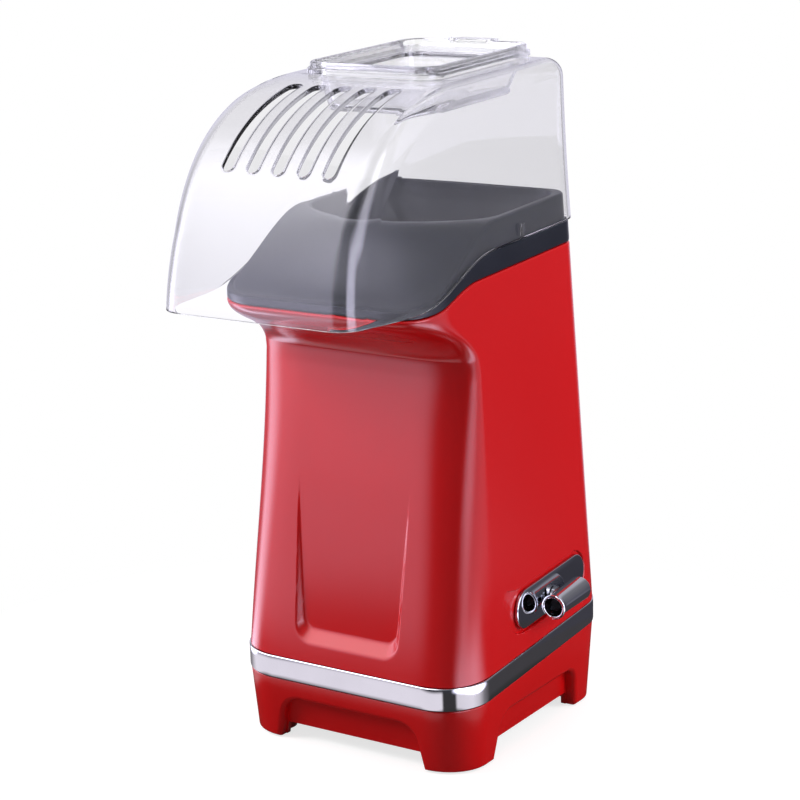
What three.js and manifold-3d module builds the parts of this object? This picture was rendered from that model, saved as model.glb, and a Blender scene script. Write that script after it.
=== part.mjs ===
// Hot-air popcorn maker, built as an assembly of separate named pieces.
// Millimetres, +Z up, the front towards -Y, the switch on the +X side, standing on Z = 0.
// The column and all it carries are drawn upright in their own frame, which leans forward;
// the feet, the arches between them and the bottom plate are drawn level with the floor.

import * as THREE from "three";
import { mergeVertices } from "three/addons/utils/BufferGeometryUtils.js";
import Module from "manifold-3d";

const wasm = await Module();
wasm.setup();
const { lerp, clamp, smoothstep, degToRad } = THREE.MathUtils;

// ---- Driving dimensions ----

const LEAN = degToRad(4.63); // forward lean of the column
const GAP = 0.3; // between pieces that touch or turn in each other

// Column, from the chrome band up to the shoulder
const BAND_FLOOR = 35.2; // underside of the band over the floor at the column's axis
const BAND_HEIGHT = 10.4;
const BAND_HALF_WIDTH = 59.6;
const BAND_HALF_DEPTH = 68.9;
const BAND_CORNER = 21.8;
const COLUMN_HEIGHT = 169;
const FOOT_INSET = 0.4; // column foot inside the band's face
const HEAD_HALF_WIDTH = 51.3;
const HEAD_BACK = 57.4;
const HEAD_FRONT = -41.2;
const HEAD_CORNER = 13.4;
const SHELL_WALL = 2.4;

// Lip that flares forward under the chute
const LIP_FRONT = -82;
const LIP_DROP = 8.1; // below the shoulder
const LIP_THICKNESS = 3.9;
const LIP_CORNER = 22;
const FLARE_HEIGHT = 25;

// Collar: trim, rim and bowl
const TRIM_HEIGHT = 9.7; // trim that shows between the column and the hood
const RIM_HEIGHT = 12.2; // rim of the bowl over the hood's seat
const RIM_WIDTH = 2.2;
const COLLAR_WALL = 2.2;
const SPIGOT_DEPTH = 7; // collar's skirt inside the column
const BOWL_HALF_WIDTH = 44.5;
const BOWL_FRONT = -36.5;
const BOWL_FRONT_CURVE = 0.0105; // how fast the bowl's front edge falls back to the sides
const BOWL_BACK = 51;
const BOWL_CORNER = 13;

// Hood
const HOOD_HEIGHT = 70.5; // over its seat
const HOOD_FRONT = -124.7;
const HOOD_BROW = -25; // where the curved front meets the flat top
const HOOD_CURVE_HEIGHT = 94.8; // of the curved front, down from the top
const HOOD_CURVE_POWER = 2.35;
const HOOD_NARROWING = 5.5; // each side, from HOOD_CHEEK to the front
const HOOD_CHEEK = -38;
const HOOD_TOP_HALF_WIDTH = 46.9;
const HOOD_BACK_TOP = 56;
const HOOD_BACK_CORNER = 9;
const HOOD_FRONT_CORNER = 12;
const HOOD_TOP_CORNER = 7;
const HOOD_WALL = 2;
const SLOT_COUNT = 5;
const SLOT_PITCH = 11.8;
const SLOT_WIDTH = 5.4;
const SLOT_FRONT = -103;
const SLOT_BACK = -50;
const CLIP_AXIS = 3.4; // small clip over the hood's lower edge, along Y
const CLIP_SIZE = 3;

// Measuring cup in the hood's top
const CUP_HALF_WIDTH = 31.7;
const CUP_FRONT = -34.5;
const CUP_BACK = 54.5;
const CUP_CORNER = 9;
const CUP_DEPTH = 21;
const CUP_WALL = 1.6;
const CUP_FLANGE = 2.6; // thickness of the flange on the hood
const CUP_RIM = 2.6; // height of the rim on the flange
const CUP_TAB_WIDTH = 20;
const CUP_TAB_LENGTH = 9;

// Front panel pressed into the column
const PANEL_DEPTH = 4;
const PANEL_FOOT = 8; // over the band
const PANEL_HEIGHT = 75;
const PANEL_FOOT_HALF_WIDTH = 26;
const PANEL_HEAD_HALF_WIDTH = 28;
const PANEL_BEVEL = 3.4;
const PANEL_CORNER = 7;

// Switch on the right side
const PLATE_LENGTH = 64.5;
const PLATE_HEIGHT = 17.8;
const PLATE_THICKNESS = 1.6;
const PLATE_AXIS = 11.7; // middle of the plate along Y
const PLATE_RISE = 18.8; // middle of the plate over the band
const POCKET_DEPTH = 1.2;
const POCKET_MARGIN = 1.5;
const THUMB_RADIUS = 9.2; // round end of the pocket, before and above the plate
const THUMB_AXIS = -20.5;
const THUMB_RISE = 22.6;
const HANDLE_AXIS = 13;
const HANDLE_RISE = 16.3;
const HANDLE_LENGTH = 26.6;
const HANDLE_RADIUS = 5.5; // at its back end
const HANDLE_TAPER = 0.6; // thinner at its front end
const HANDLE_RING = 5.7; // rolled ring round its front end
const HANDLE_BORE = 4.3;
const HANDLE_STAND_OFF = 6.6; // tube's axis over the plate
const NECK_RADIUS = 4.4;
const SPINDLE_RADIUS = 2.8;
const BUSHING_RADIUS = 5;
const SWITCH_BODY_WIDTH = 18;
const SWITCH_BODY_LENGTH = 16;
const SWITCH_NUT_RADIUS = 8;
const SWITCH_NUT_HEIGHT = 2.4;
const SWITCH_LUG = 5;

// Base
const BASE_TAPER = 2.7; // each side, from the band to the floor
const BASE_WALL = 2.4;
const LEG_GAP = 0.8; // legs end this far over the floor, on their pads
const ARCH_HEIGHT = 20.5;
const ARCH_DEPTH = 4.6;
const ARCH_CORNER = 6;
const ARCH_FRONT_HALF = 32.5;
const ARCH_SIDE_HALF = 35;
const ARCH_SPREAD = 4; // each end, from the top of an arch to the floor
const APRON_FLOOR = 7; // lower edge of the wall inside the arches
const APRON_WALL = 2.4;
const SPIGOT_HEIGHT = 6; // base's ring inside the column
const PAD_RADIUS = 6;
const PAD_HEIGHT = 3.4;
const PLATE_FLOOR = 9; // bottom plate over the floor
const BOTTOM_THICKNESS = 2;
const GLAND_RADIUS = 4.6;
const GLAND_BORE = 3.2;
const GLAND_COLLAR = 1.4; // collar outside the gland's radius
const GLAND_SIDE = -18;
const BLOCK_WIDTH = 10; // terminal block
const BLOCK_LENGTH = 22;
const BLOCK_HEIGHT = 9;
const BLOCK_ROOM = 9; // between the block and the back wall

// Popping chamber, heater and fan, on one axis inside the column
const CORE_AXIS = 7; // along Y
const CHAMBER_RADIUS = 33;
const CHAMBER_WALL = 1;
const CHAMBER_DEPTH = 72;
const THROAT_FLOOR = 18; // throat's end below the hood's seat
const SEAL_THICKNESS = 2;
const SHIELD_SPACE = 5.6; // air between the chamber and the shield
const SHIELD_WALL = 0.8;
const SHIELD_MARGIN = 1.6; // from the shield to the fan housing's rim
const FAN_HOUSING_WALL = 2;
const FAN_HOUSING_HEIGHT = 22;
const HEATER_HEIGHT = 18;
const COIL_RADII = [14, 22, 30];
const COIL_WIRE = 1.5;
const FAN_CLEARANCE = 7; // from the blades to the fan housing
const FAN_HEIGHT = 9;
const FAN_BLADES = 8;
const FAN_LIFT = 4.6; // fan over the housing's underside
const SHAFT_RADIUS = 1.5;
const MOTOR_RADIUS = 16;
const MOTOR_LENGTH = 34;
const MOTOR_BOSS = 9;
const END_CAP_HEIGHT = 3;
const END_CAP_BOSS = 5;
const BOARD_THICKNESS = 1.6;
const BRIDGE_SIZE = 12;
const BRIDGE_HEIGHT = 4;
const POST_RADIUS = 4.2;
const POST_INSET = 7; // posts inside the fan housing's radius, along X and Y
const SCREW_RADIUS = 1.5;
const SCREW_HEAD = 3.2;
const SCREW_LENGTH = 13;
const WIRE_RADIUS = 0.9;
const THERMOSTAT_RADIUS = 7;
const THERMOSTAT_DEPTH = 5.5;
const LUG_SIDE = 4;
const LUG_HALF = 0.4;
const FUSE_RADIUS = 2;
const FUSE_LEAD = 13;
const FUSE_LEAD_RADIUS = 0.6;

// ---- Levels and places that follow from them ----

const bandTop = BAND_FLOOR + BAND_HEIGHT;
const shoulder = bandTop + COLUMN_HEIGHT;
const lipLow = shoulder - LIP_DROP;
const lipTop = lipLow + LIP_THICKNESS;
const hoodSeat = shoulder + TRIM_HEIGHT;
const rimTop = hoodSeat + RIM_HEIGHT;
const hoodTop = hoodSeat + HOOD_HEIGHT;
const hoodCurveFloor = hoodTop - HOOD_CURVE_HEIGHT;
const footHalfWidth = BAND_HALF_WIDTH - FOOT_INSET;
const footHalfDepth = BAND_HALF_DEPTH - FOOT_INSET;
const footCorner = BAND_CORNER - FOOT_INSET;
const throatFloor = hoodSeat - THROAT_FLOOR;
const sealFloor = throatFloor - GAP - SEAL_THICKNESS;
const chamberTop = sealFloor - GAP;
const shieldTop = chamberTop - CHAMBER_WALL - GAP;
const chamberFloor = chamberTop - CHAMBER_DEPTH;
const heaterTop = chamberFloor - 3;
const heaterFloor = heaterTop - HEATER_HEIGHT;
const fanHousingTop = heaterFloor - GAP;
const deckFloor = fanHousingTop - FAN_HOUSING_HEIGHT;
const motorTop = deckFloor - GAP;
const motorFloor = motorTop - MOTOR_LENGTH;
const shieldRadius = CHAMBER_RADIUS + CHAMBER_WALL + SHIELD_SPACE;
const chamberFlange = shieldRadius + SHIELD_WALL + GAP;
const fanHousingRadius = shieldRadius + SHIELD_WALL + SHIELD_MARGIN;
const fanRadius = fanHousingRadius - FAN_CLEARANCE;
const fanFloor = deckFloor + FAN_LIFT;
const postSpacing = fanHousingRadius - POST_INSET;

// ---- Tools for shapes ----

const point = (x, y) => new THREE.Vector2(x, y);
const range = (count) => Array.from({ length: count }, (_, index) => index);
const FAR = 160; // well outside every piece

/** A closed mesh as a solid whose faces point outwards. */
function solid(geometry) {
  const bare = geometry.clone();
  bare.deleteAttribute("normal");
  bare.deleteAttribute("uv");
  const merged = mergeVertices(bare, 1e-4);
  const vertProperties = new Float32Array(merged.attributes.position.array);
  const triVerts = new Uint32Array(merged.index.array);
  const made = new wasm.Manifold(new wasm.Mesh({ numProp: 3, vertProperties, triVerts }));
  if (made.volume() > 0) return made;
  return new wasm.Manifold(new wasm.Mesh({ numProp: 3, vertProperties, triVerts: triVerts.slice().reverse() }));
}

/** A solid's surface as a geometry for a mesh. */
function surface(shape) {
  const { numProp, vertProperties, triVerts } = shape.getMesh();
  const positions = new Float32Array((vertProperties.length / numProp) * 3);
  for (let i = 0; i < positions.length / 3; i += 1) {
    positions.set(vertProperties.slice(i * numProp, i * numProp + 3), i * 3);
  }
  const geometry = new THREE.BufferGeometry();
  geometry.setAttribute("position", new THREE.BufferAttribute(positions, 3));
  geometry.setIndex(new THREE.BufferAttribute(new Uint32Array(triVerts), 1));
  geometry.computeVertexNormals();
  return geometry;
}

/** A skin through loops of equal count, closed by flat caps; flatten gives a loop's plan. */
function loft(loops, flatten = (p) => point(p.x, p.y)) {
  const count = loops[0].length;
  const positions = loops.flat().flatMap((p) => [p.x, p.y, p.z]);
  const indices = [];
  for (let level = 0; level + 1 < loops.length; level += 1) {
    for (let i = 0; i < count; i += 1) {
      const here = level * count + i;
      const next = level * count + ((i + 1) % count);
      indices.push(here, next, next + count, here, next + count, here + count);
    }
  }
  const cap = (loop) => THREE.ShapeUtils.triangulateShape(loop.map(flatten), []);
  const top = (loops.length - 1) * count;
  cap(loops[0]).forEach(([a, b, c]) => indices.push(a, c, b));
  cap(loops.at(-1)).forEach(([a, b, c]) => indices.push(top + a, top + b, top + c));
  const geometry = new THREE.BufferGeometry();
  geometry.setAttribute("position", new THREE.Float32BufferAttribute(positions, 3));
  geometry.setIndex(indices);
  return solid(geometry);
}

/** A rounded rectangle, anticlockwise, with its own corners in front and behind. */
function outline({ half, front, back, frontCorner, backCorner, frontDepth = frontCorner }, steps = 5) {
  const points = [];
  const corner = (x, y, alongX, alongY, start) => {
    for (let i = 0; i <= steps; i += 1) {
      const angle = start + ((i / steps) * Math.PI) / 2;
      points.push(point(x + alongX * Math.cos(angle), y + alongY * Math.sin(angle)));
    }
  };
  corner(half - frontCorner, front + frontDepth, frontCorner, frontDepth, -Math.PI / 2);
  corner(half - backCorner, back - backCorner, backCorner, backCorner, 0);
  corner(backCorner - half, back - backCorner, backCorner, backCorner, Math.PI / 2);
  corner(frontCorner - half, front + frontDepth, frontCorner, frontDepth, Math.PI);
  return points;
}

/** The same loop with its long edges split into equal steps no longer than most. */
function divided(points, most) {
  return points.flatMap((p, i) => {
    const next = points[(i + 1) % points.length];
    const count = Math.ceil(p.distanceTo(next) / most);
    return range(count).map((k) => p.clone().lerp(next, k / count));
  });
}

const atHeight = (points, z) => points.map((p) => new THREE.Vector3(p.x, p.y, z));

/** A loft of one section function over a list of heights. */
const stack = (section, heights) => loft(heights.map((z) => atHeight(outline(section(z)), z)));

const steps = (from, to, count) => range(count + 1).map((i) => lerp(from, to, i / count));

/** An outline in (Y, Z), carried along X. */
function prismX(points, from, to) {
  const options = { depth: to - from, bevelEnabled: false };
  const geometry = new THREE.ExtrudeGeometry(new THREE.Shape(points), options);
  const across = new THREE.Matrix4().makeBasis(
    new THREE.Vector3(0, 1, 0),
    new THREE.Vector3(0, 0, 1),
    new THREE.Vector3(1, 0, 0),
  );
  geometry.applyMatrix4(across.setPosition(from, 0, 0));
  return solid(geometry);
}

/** An outline in (X, Y), carried up Z. */
function prismZ(points, from, to) {
  const options = { depth: to - from, bevelEnabled: false };
  const geometry = new THREE.ExtrudeGeometry(new THREE.Shape(points), options);
  geometry.translate(0, 0, from);
  return solid(geometry);
}

function box(low, high) {
  const size = high.map((value, axis) => value - low[axis]);
  const middle = high.map((value, axis) => (value + low[axis]) / 2);
  return solid(new THREE.BoxGeometry(...size).translate(...middle));
}

/** A profile of (radius, height) points turned about a vertical axis at (x, y). */
function turned(profile, x = 0, y = 0, segments = 36) {
  const geometry = new THREE.LatheGeometry(profile.map(([radius, z]) => point(radius, z)), segments);
  geometry.rotateX(Math.PI / 2);
  geometry.translate(x, y, 0);
  return solid(geometry);
}

const tube = (inner, outer, low, high, x, y, segments) =>
  turned([[inner, low], [outer, low], [outer, high], [inner, high], [inner, low]], x, y, segments);

/** A rod or cone between two points. */
function rod(from, to, radius, endRadius = radius, segments = 24) {
  const start = new THREE.Vector3(...from);
  const along = new THREE.Vector3(...to).sub(start);
  const geometry = new THREE.CylinderGeometry(endRadius, radius, along.length(), segments);
  geometry.translate(0, along.length() / 2, 0);
  const turn = new THREE.Quaternion().setFromUnitVectors(new THREE.Vector3(0, 1, 0), along.normalize());
  geometry.applyQuaternion(turn);
  geometry.translate(...start);
  return solid(geometry);
}

/** A stadium lying in a plane of constant X, with its length along Y. */
function stadium(axis, middle, length, height, from, to) {
  const radius = height / 2;
  const reach = length / 2 - radius;
  const shape = new THREE.Shape();
  shape.absarc(axis + reach, middle, radius, -Math.PI / 2, Math.PI / 2, false);
  shape.absarc(axis - reach, middle, radius, Math.PI / 2, (3 * Math.PI) / 2, false);
  return prismX(shape.getPoints(10), from, to);
}

const union = (...shapes) => shapes.reduce((all, shape) => all.add(shape));

/** Moves a solid drawn level with the floor into the leaning frame, and back. */
const level = (shape) => shape.rotate([-THREE.MathUtils.radToDeg(LEAN), 0, 0]);
const standUp = (shape) => shape.rotate([THREE.MathUtils.radToDeg(LEAN), 0, 0]);

// ---- Column surfaces shared by the shell, the collar and the band ----

/** Plan of the column at a height, drawn in by inset; the lip flares out near the top. */
function columnSection(z, inset = 0) {
  const rise = (z - bandTop) / COLUMN_HEIGHT;
  const flare = smoothstep(z - inset, lipLow - FLARE_HEIGHT, lipLow);
  const corner = lerp(footCorner, HEAD_CORNER, rise);
  return {
    half: lerp(footHalfWidth, HEAD_HALF_WIDTH, rise) - inset,
    front: lerp(lerp(-footHalfDepth, HEAD_FRONT, rise), LIP_FRONT, flare) + inset,
    back: lerp(footHalfDepth, HEAD_BACK, rise) - inset,
    frontCorner: Math.max(lerp(corner, LIP_CORNER, flare) - inset, 1),
    backCorner: Math.max(corner - inset, 1),
  };
}

/** Plan of the base at a height below the band. */
function baseSection(z, inset = 0) {
  const drop = clamp((BAND_FLOOR - z) / BAND_FLOOR, -1, 1.3);
  const shrink = FOOT_INSET + BASE_TAPER * Math.max(drop, 0) + inset;
  return {
    half: BAND_HALF_WIDTH - shrink,
    front: shrink - BAND_HALF_DEPTH,
    back: BAND_HALF_DEPTH - shrink,
    frontCorner: BAND_CORNER - shrink,
    backCorner: BAND_CORNER - shrink,
  };
}

const bandSection = (inset) => ({
  half: BAND_HALF_WIDTH - inset,
  front: inset - BAND_HALF_DEPTH,
  back: BAND_HALF_DEPTH - inset,
  frontCorner: BAND_CORNER - inset,
  backCorner: BAND_CORNER - inset,
});

const columnLevels = [
  ...steps(bandTop, lipLow - FLARE_HEIGHT, 5),
  ...steps(lipLow - FLARE_HEIGHT, lipLow + 1, 9).slice(1),
  rimTop + 4,
];
const headLevels = columnLevels.filter((z) => z > lipLow - FLARE_HEIGHT / 2);

/** Top edge of the shell: level behind, dropping in an S to the lip. */
const shellEdge = (y) => shoulder - LIP_DROP * smoothstep(-y, 36, -LIP_FRONT - 4);

/** Seat of the hood on the collar, and the hood's own lower edge over it. */
const seatDrop = hoodSeat - lipTop;
const seatEdge = (y) => hoodSeat - seatDrop * smoothstep(-y, 22, -LIP_FRONT - 2);
const hoodEdge = (y) => seatEdge(y) + GAP + 1.5 * smoothstep(-y, -LIP_FRONT, -HOOD_FRONT);

/** Everything below an edge that depends on Y alone. */
function below(edge, floor = -FAR) {
  const bend = LIP_FRONT - 8;
  const places = [FAR, ...steps(-20, bend, 25), ...steps(bend - 4, HOOD_FRONT - 8, 6), -FAR];
  const line = places.map((y) => point(y, edge(y)));
  return prismX([point(-FAR, floor), point(FAR, floor), ...line], -FAR, FAR);
}

// ---- Column and base ----

/** The pressed front panel, deep at its foot and fading out at its head; grow takes it into the column. */
function panelCutter(grow = 0) {
  const foot = bandTop + PANEL_FOOT;
  const head = foot + PANEL_HEIGHT;
  const loop = (margin, sink, outside) => {
    const low = foot + margin * 1.8;
    const points = outline({
      half: PANEL_FOOT_HALF_WIDTH - margin + grow,
      front: low - grow,
      back: head,
      frontCorner: PANEL_CORNER,
      backCorner: 2,
    });
    return points.map((p) => {
      const rise = clamp((p.y - low + grow) / (head - low + grow), 0, 1);
      const spread = (PANEL_HEAD_HALF_WIDTH - PANEL_FOOT_HALF_WIDTH) * rise + margin * rise;
      const fade = sink * (1 - rise);
      const y = columnSection(p.y).front + fade + grow - outside;
      return new THREE.Vector3(p.x + Math.sign(p.x) * spread, y, p.y);
    });
  };
  const loops = [loop(PANEL_BEVEL, PANEL_DEPTH, 0), loop(0, 0, 0.02), loop(0, 0, 8)];
  return loft(loops, (p) => point(p.x, p.z));
}

const plateMiddle = bandTop + PLATE_RISE;
const pocketFloor = columnSection(plateMiddle).half - POCKET_DEPTH;
const handleMiddle = bandTop + HANDLE_RISE;
const plateFace = pocketFloor + GAP + PLATE_THICKNESS;
const padFace = pocketFloor - SHELL_WALL - GAP;

function bodyShell() {
  const outside = stack((z) => columnSection(z), [bandTop + GAP, ...columnLevels.slice(1)]);
  const inside = stack((z) => columnSection(z, SHELL_WALL), [bandTop - 5, ...columnLevels.slice(1)]);
  const padLength = PLATE_LENGTH + 3 * SHELL_WALL - THUMB_AXIS / 2;
  const padMiddle = PLATE_AXIS + THUMB_AXIS / 4;
  const pad = stadium(padMiddle, plateMiddle + 1, padLength, PLATE_HEIGHT + 6, padFace, pocketFloor + 1);
  const margin = 2 * POCKET_MARGIN;
  const thumb = [THUMB_AXIS, bandTop + THUMB_RISE];
  const size = [PLATE_LENGTH + margin, PLATE_HEIGHT + margin];
  const thumbCut = rod([pocketFloor, ...thumb], [FAR, ...thumb], THUMB_RADIUS);
  const pocket = stadium(PLATE_AXIS, plateMiddle, ...size, pocketFloor, FAR).add(thumbCut);
  const hole = rod(spindle(padFace - 5), spindle(pocketFloor + 5), BUSHING_RADIUS + GAP);
  return outside
    .subtract(inside)
    .add(pad)
    .add(panelCutter(SHELL_WALL).intersect(outside))
    .intersect(below(shellEdge))
    .subtract(panelCutter())
    .subtract(pocket)
    .subtract(hole);
}

function chromeBand() {
  const levels = [BAND_FLOOR, bandTop];
  return stack(() => bandSection(0), levels).subtract(stack(() => bandSection(SHELL_WALL), [0, 80]));
}

/** An arch's opening as (along, up) points: wider at the floor, rounded at the top. */
function archOutline(half) {
  const shape = new THREE.Shape();
  const spread = half + ARCH_SPREAD;
  shape.moveTo(-spread, -10);
  shape.lineTo(spread, -10);
  shape.lineTo(spread, 0);
  shape.lineTo(half, ARCH_HEIGHT - ARCH_CORNER);
  shape.quadraticCurveTo(half, ARCH_HEIGHT, half - ARCH_CORNER, ARCH_HEIGHT);
  shape.lineTo(ARCH_CORNER - half, ARCH_HEIGHT);
  shape.quadraticCurveTo(-half, ARCH_HEIGHT, -half, ARCH_HEIGHT - ARCH_CORNER);
  shape.lineTo(-spread, 0);
  return shape.getPoints(5);
}

function baseSkirt() {
  const low = -12;
  const levels = [low, BAND_FLOOR * 0.4, BAND_FLOOR - GAP];
  const ring = (outer, inner, heights) =>
    stack((z) => baseSection(z, outer), heights).subtract(
      stack((z) => baseSection(z, inner), [heights[0] - 1, ...heights.slice(1, -1), heights.at(-1) + 1]),
    );
  const apronInset = ARCH_DEPTH + APRON_WALL;
  const thick = ring(0, apronInset, levels);
  const hollow = stack((z) => baseSection(z, BASE_WALL), levels.map((z) => z + 1)).subtract(
    level(box([-90, -120, -40], [90, 120, ARCH_HEIGHT + BASE_WALL])),
  );
  const arches = union(
    prismX(archOutline(ARCH_SIDE_HALF), -90, 90),
    prismX(archOutline(ARCH_FRONT_HALF), -120, 120).rotate([0, 0, 90]),
  );
  const outer = stack((z) => baseSection(z, -1), levels);
  const past = levels.map((z) => (z === low ? z - 1 : z + 1));
  const face = outer.subtract(stack((z) => baseSection(z, ARCH_DEPTH), past));
  const underApron = arches.intersect(box([-120, -140, -20], [120, 140, APRON_FLOOR]));
  const spigotInset = SHELL_WALL + GAP;
  const spigotSection = (z, inset) => columnSection(Math.max(z, bandTop), spigotInset + inset);
  const spigotLevels = [BAND_FLOOR - 4, bandTop, bandTop + SPIGOT_HEIGHT];
  const spigot = stack((z) => spigotSection(z, 0), spigotLevels).subtract(
    stack((z) => spigotSection(z, BASE_WALL), [BAND_FLOOR - 12, bandTop, bandTop + SPIGOT_HEIGHT + 1]),
  );
  const collarRing = ring(0, spigotInset + BASE_WALL, [BAND_FLOOR - 4, BAND_FLOOR - 2, BAND_FLOOR - GAP]);
  const feet = union(...padPlaces.map(([x, y]) => rod([x, y, LEG_GAP], [x, y, 7], PAD_RADIUS + 3)));
  const feetInside = level(feet).intersect(stack((z) => baseSection(z, 1), levels));
  const socketTop = PAD_HEIGHT + GAP;
  const sockets = union(...padPlaces.map(([x, y]) => rod([x, y, -1], [x, y, socketTop], PAD_RADIUS + GAP)));
  const floorCut = level(box([-120, -140, -60], [120, 140, LEG_GAP]));
  const glandHole = level(rod([GLAND_SIDE, 40, glandRise], [GLAND_SIDE, 90, glandRise], GLAND_RADIUS + GAP));
  return thick
    .subtract(hollow)
    .subtract(face.intersect(level(arches)))
    .subtract(level(underApron))
    .add(feetInside)
    .subtract(level(sockets))
    .add(collarRing)
    .add(spigot)
    .subtract(floorCut)
    .subtract(glandHole);
}

const padX = BAND_HALF_WIDTH - BASE_TAPER - 11.5;
const padY = BAND_HALF_DEPTH - BASE_TAPER - 12.5;
const padPlaces = [[-padX, -padY], [padX, -padY], [-padX, padY], [padX, padY]];
const glandRise = (APRON_FLOOR + ARCH_HEIGHT) / 2 + 0.4;

/** Back of the wall inside the back arch at the gland, in level coordinates. */
const glandFoot = glandRise - Math.sin(LEAN) * BAND_HALF_DEPTH;
const baseBack = Math.cos(LEAN) * baseSection(glandFoot, ARCH_DEPTH).back - Math.sin(LEAN) * glandFoot;
const blockBack = baseBack - BLOCK_ROOM;
const blockFloor = PLATE_FLOOR + BOTTOM_THICKNESS + GAP;

function bottomPlate() {
  const inset = ARCH_DEPTH + APRON_WALL + GAP + 0.6;
  const plan = standUp(stack((z) => baseSection(z, inset), [-12, BAND_FLOOR]));
  const top = PLATE_FLOOR + BOTTOM_THICKNESS;
  const slots = range(9).flatMap((i) => {
    const y = CORE_AXIS - 24 + i * 6;
    const half = 24 - Math.abs(i - 4) * 2;
    return [box([-half, y - 1.4, 0], [-2, y + 1.4, 20]), box([2, y - 1.4, 0], [half, y + 1.4, 20])];
  });
  const holes = postFeet.map(([x, y]) => rod([x, y, 0], [x, y, 20], SCREW_RADIUS + 2 * GAP));
  const room = GLAND_RADIUS + GLAND_COLLAR + 1;
  const glandRoom = box([GLAND_SIDE - room, blockBack + 1, 0], [GLAND_SIDE + room, FAR, 2 * glandRise]);
  return plan
    .intersect(box([-90, -120, PLATE_FLOOR], [90, 120, top]))
    .subtract(union(...slots, ...holes, glandRoom));
}

/** Where the leaning posts meet the bottom plate, in level coordinates. */
const postTop = PLATE_FLOOR + BOTTOM_THICKNESS + GAP;
const postPlaces = [[-1, -1], [1, -1], [-1, 1], [1, 1]].map(([x, y]) => [
  x * postSpacing,
  CORE_AXIS + y * postSpacing,
]);
const postFeet = postPlaces.map(([x, y]) => {
  const z = (postTop - Math.sin(LEAN) * y) / Math.cos(LEAN);
  return [x, Math.cos(LEAN) * y - Math.sin(LEAN) * z];
});

function baseScrew([x, y]) {
  const head = PLATE_FLOOR - GAP;
  const shank = rod([x, y, head - 1], [x, y, head + SCREW_LENGTH], SCREW_RADIUS, undefined, 14);
  const slot = box([x - 4, y - 0.4, head - 3], [x + 4, y + 0.4, head - 1.3]);
  return rod([x, y, head - 2.1], [x, y, head], SCREW_HEAD - 0.8, SCREW_HEAD, 20).add(shank).subtract(slot);
}

const footPad = ([x, y]) => rod([x, y, 0], [x, y, PAD_HEIGHT], PAD_RADIUS - 0.4, PAD_RADIUS, 24);

function cordGland() {
  const at = (y) => [GLAND_SIDE, y, glandRise];
  const inner = baseBack - APRON_WALL - 2 * GAP;
  const outer = baseBack + 2 * GAP;
  const collar = GLAND_RADIUS + GLAND_COLLAR;
  return rod(at(inner - 1.8), at(inner), collar)
    .add(rod(at(inner - 1), at(outer + 1), GLAND_RADIUS))
    .add(rod(at(outer), at(outer + 2), collar, collar - 0.8))
    .subtract(rod(at(inner - 6), at(outer + 8), GLAND_BORE));
}

// ---- Chute collar ----

const bowlFrontAt = (x) => BOWL_FRONT + BOWL_FRONT_CURVE * x * x;

/** Top of the collar: a level rim that falls in an S to the lip. */
function collarTop(x, y) {
  const start = bowlFrontAt(x) - RIM_WIDTH;
  const end = LIP_FRONT + 2;
  return rimTop - (rimTop - lipTop) * smoothstep(start - y, 0, start - end);
}

/** Everything under the collar's top, shifted down by sink. */
function underCollarTop(sink) {
  const columns = 16;
  const rows = 29;
  const loops = steps(-64, 64, columns).map((x) => {
    const line = steps(-100, 74, rows).map((y) => new THREE.Vector3(x, y, collarTop(x, y) - sink));
    return [new THREE.Vector3(x, -100, 150), ...line, new THREE.Vector3(x, 74, 150)].reverse();
  });
  return loft(loops, (p) => point(p.y, p.z));
}

/** The bowl from its rim down to the round throat, drawn in or out by margin. */
function funnel(margin) {
  const half = BOWL_HALF_WIDTH + margin;
  const corner = BOWL_CORNER + margin;
  const front = steps(-half, half, 12).map((x) => point(x, bowlFrontAt(x) - margin));
  const rear = outline({ half, front: 0, back: BOWL_BACK + margin, frontCorner: 1, backCorner: corner });
  const rim = divided([...front, ...rear.filter((p) => p.y > 10)], 12);
  const throat = rim.map((p) => {
    const angle = Math.atan2(p.y - CORE_AXIS, p.x);
    const radius = CHAMBER_RADIUS + margin;
    return point(radius * Math.cos(angle), CORE_AXIS + radius * Math.sin(angle));
  });
  const between = (t) => rim.map((p, i) => p.clone().lerp(throat[i], t));
  return loft([
    atHeight(throat, throatFloor - (margin > 0 ? 0 : 3)),
    atHeight(throat, throatFloor + 2),
    atHeight(between(0.45), lerp(rimTop, throatFloor, 0.6)),
    atHeight(between(0.12), lerp(rimTop, throatFloor, 0.25)),
    atHeight(rim, rimTop - 1),
    atHeight(rim, rimTop + 6),
  ]);
}

function chuteCollar() {
  const inset = HOOD_WALL + 2 * GAP;
  const head = (margin, from, to) =>
    stack((z) => columnSection(z, margin), [from, ...headLevels.filter((z) => z > from && z < to), to]);
  const gapLow = below((y) => shellEdge(y) + GAP);
  const trim = head(0, lipLow - 6, hoodSeat + 4).intersect(below(seatEdge)).subtract(gapLow);
  const wall = head(inset, lipLow - 2, rimTop + 3).intersect(underCollarTop(0)).subtract(gapLow);
  const spigotInset = SHELL_WALL + GAP;
  const spigot = head(spigotInset, lipLow - SPIGOT_DEPTH, rimTop)
    .intersect(below((y) => shellEdge(y) + 2))
    .subtract(below((y) => shellEdge(y) - SPIGOT_DEPTH + 2.5));
  const hollow = head(spigotInset + COLLAR_WALL, lipLow - SPIGOT_DEPTH - 4, rimTop + 3)
    .intersect(underCollarTop(COLLAR_WALL));
  const bowlWall = funnel(COLLAR_WALL);
  return union(trim, wall, spigot)
    .subtract(hollow)
    .add(bowlWall.intersect(underCollarTop(0)))
    .subtract(funnel(0));
}

// ---- Hood and cup ----

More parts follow.
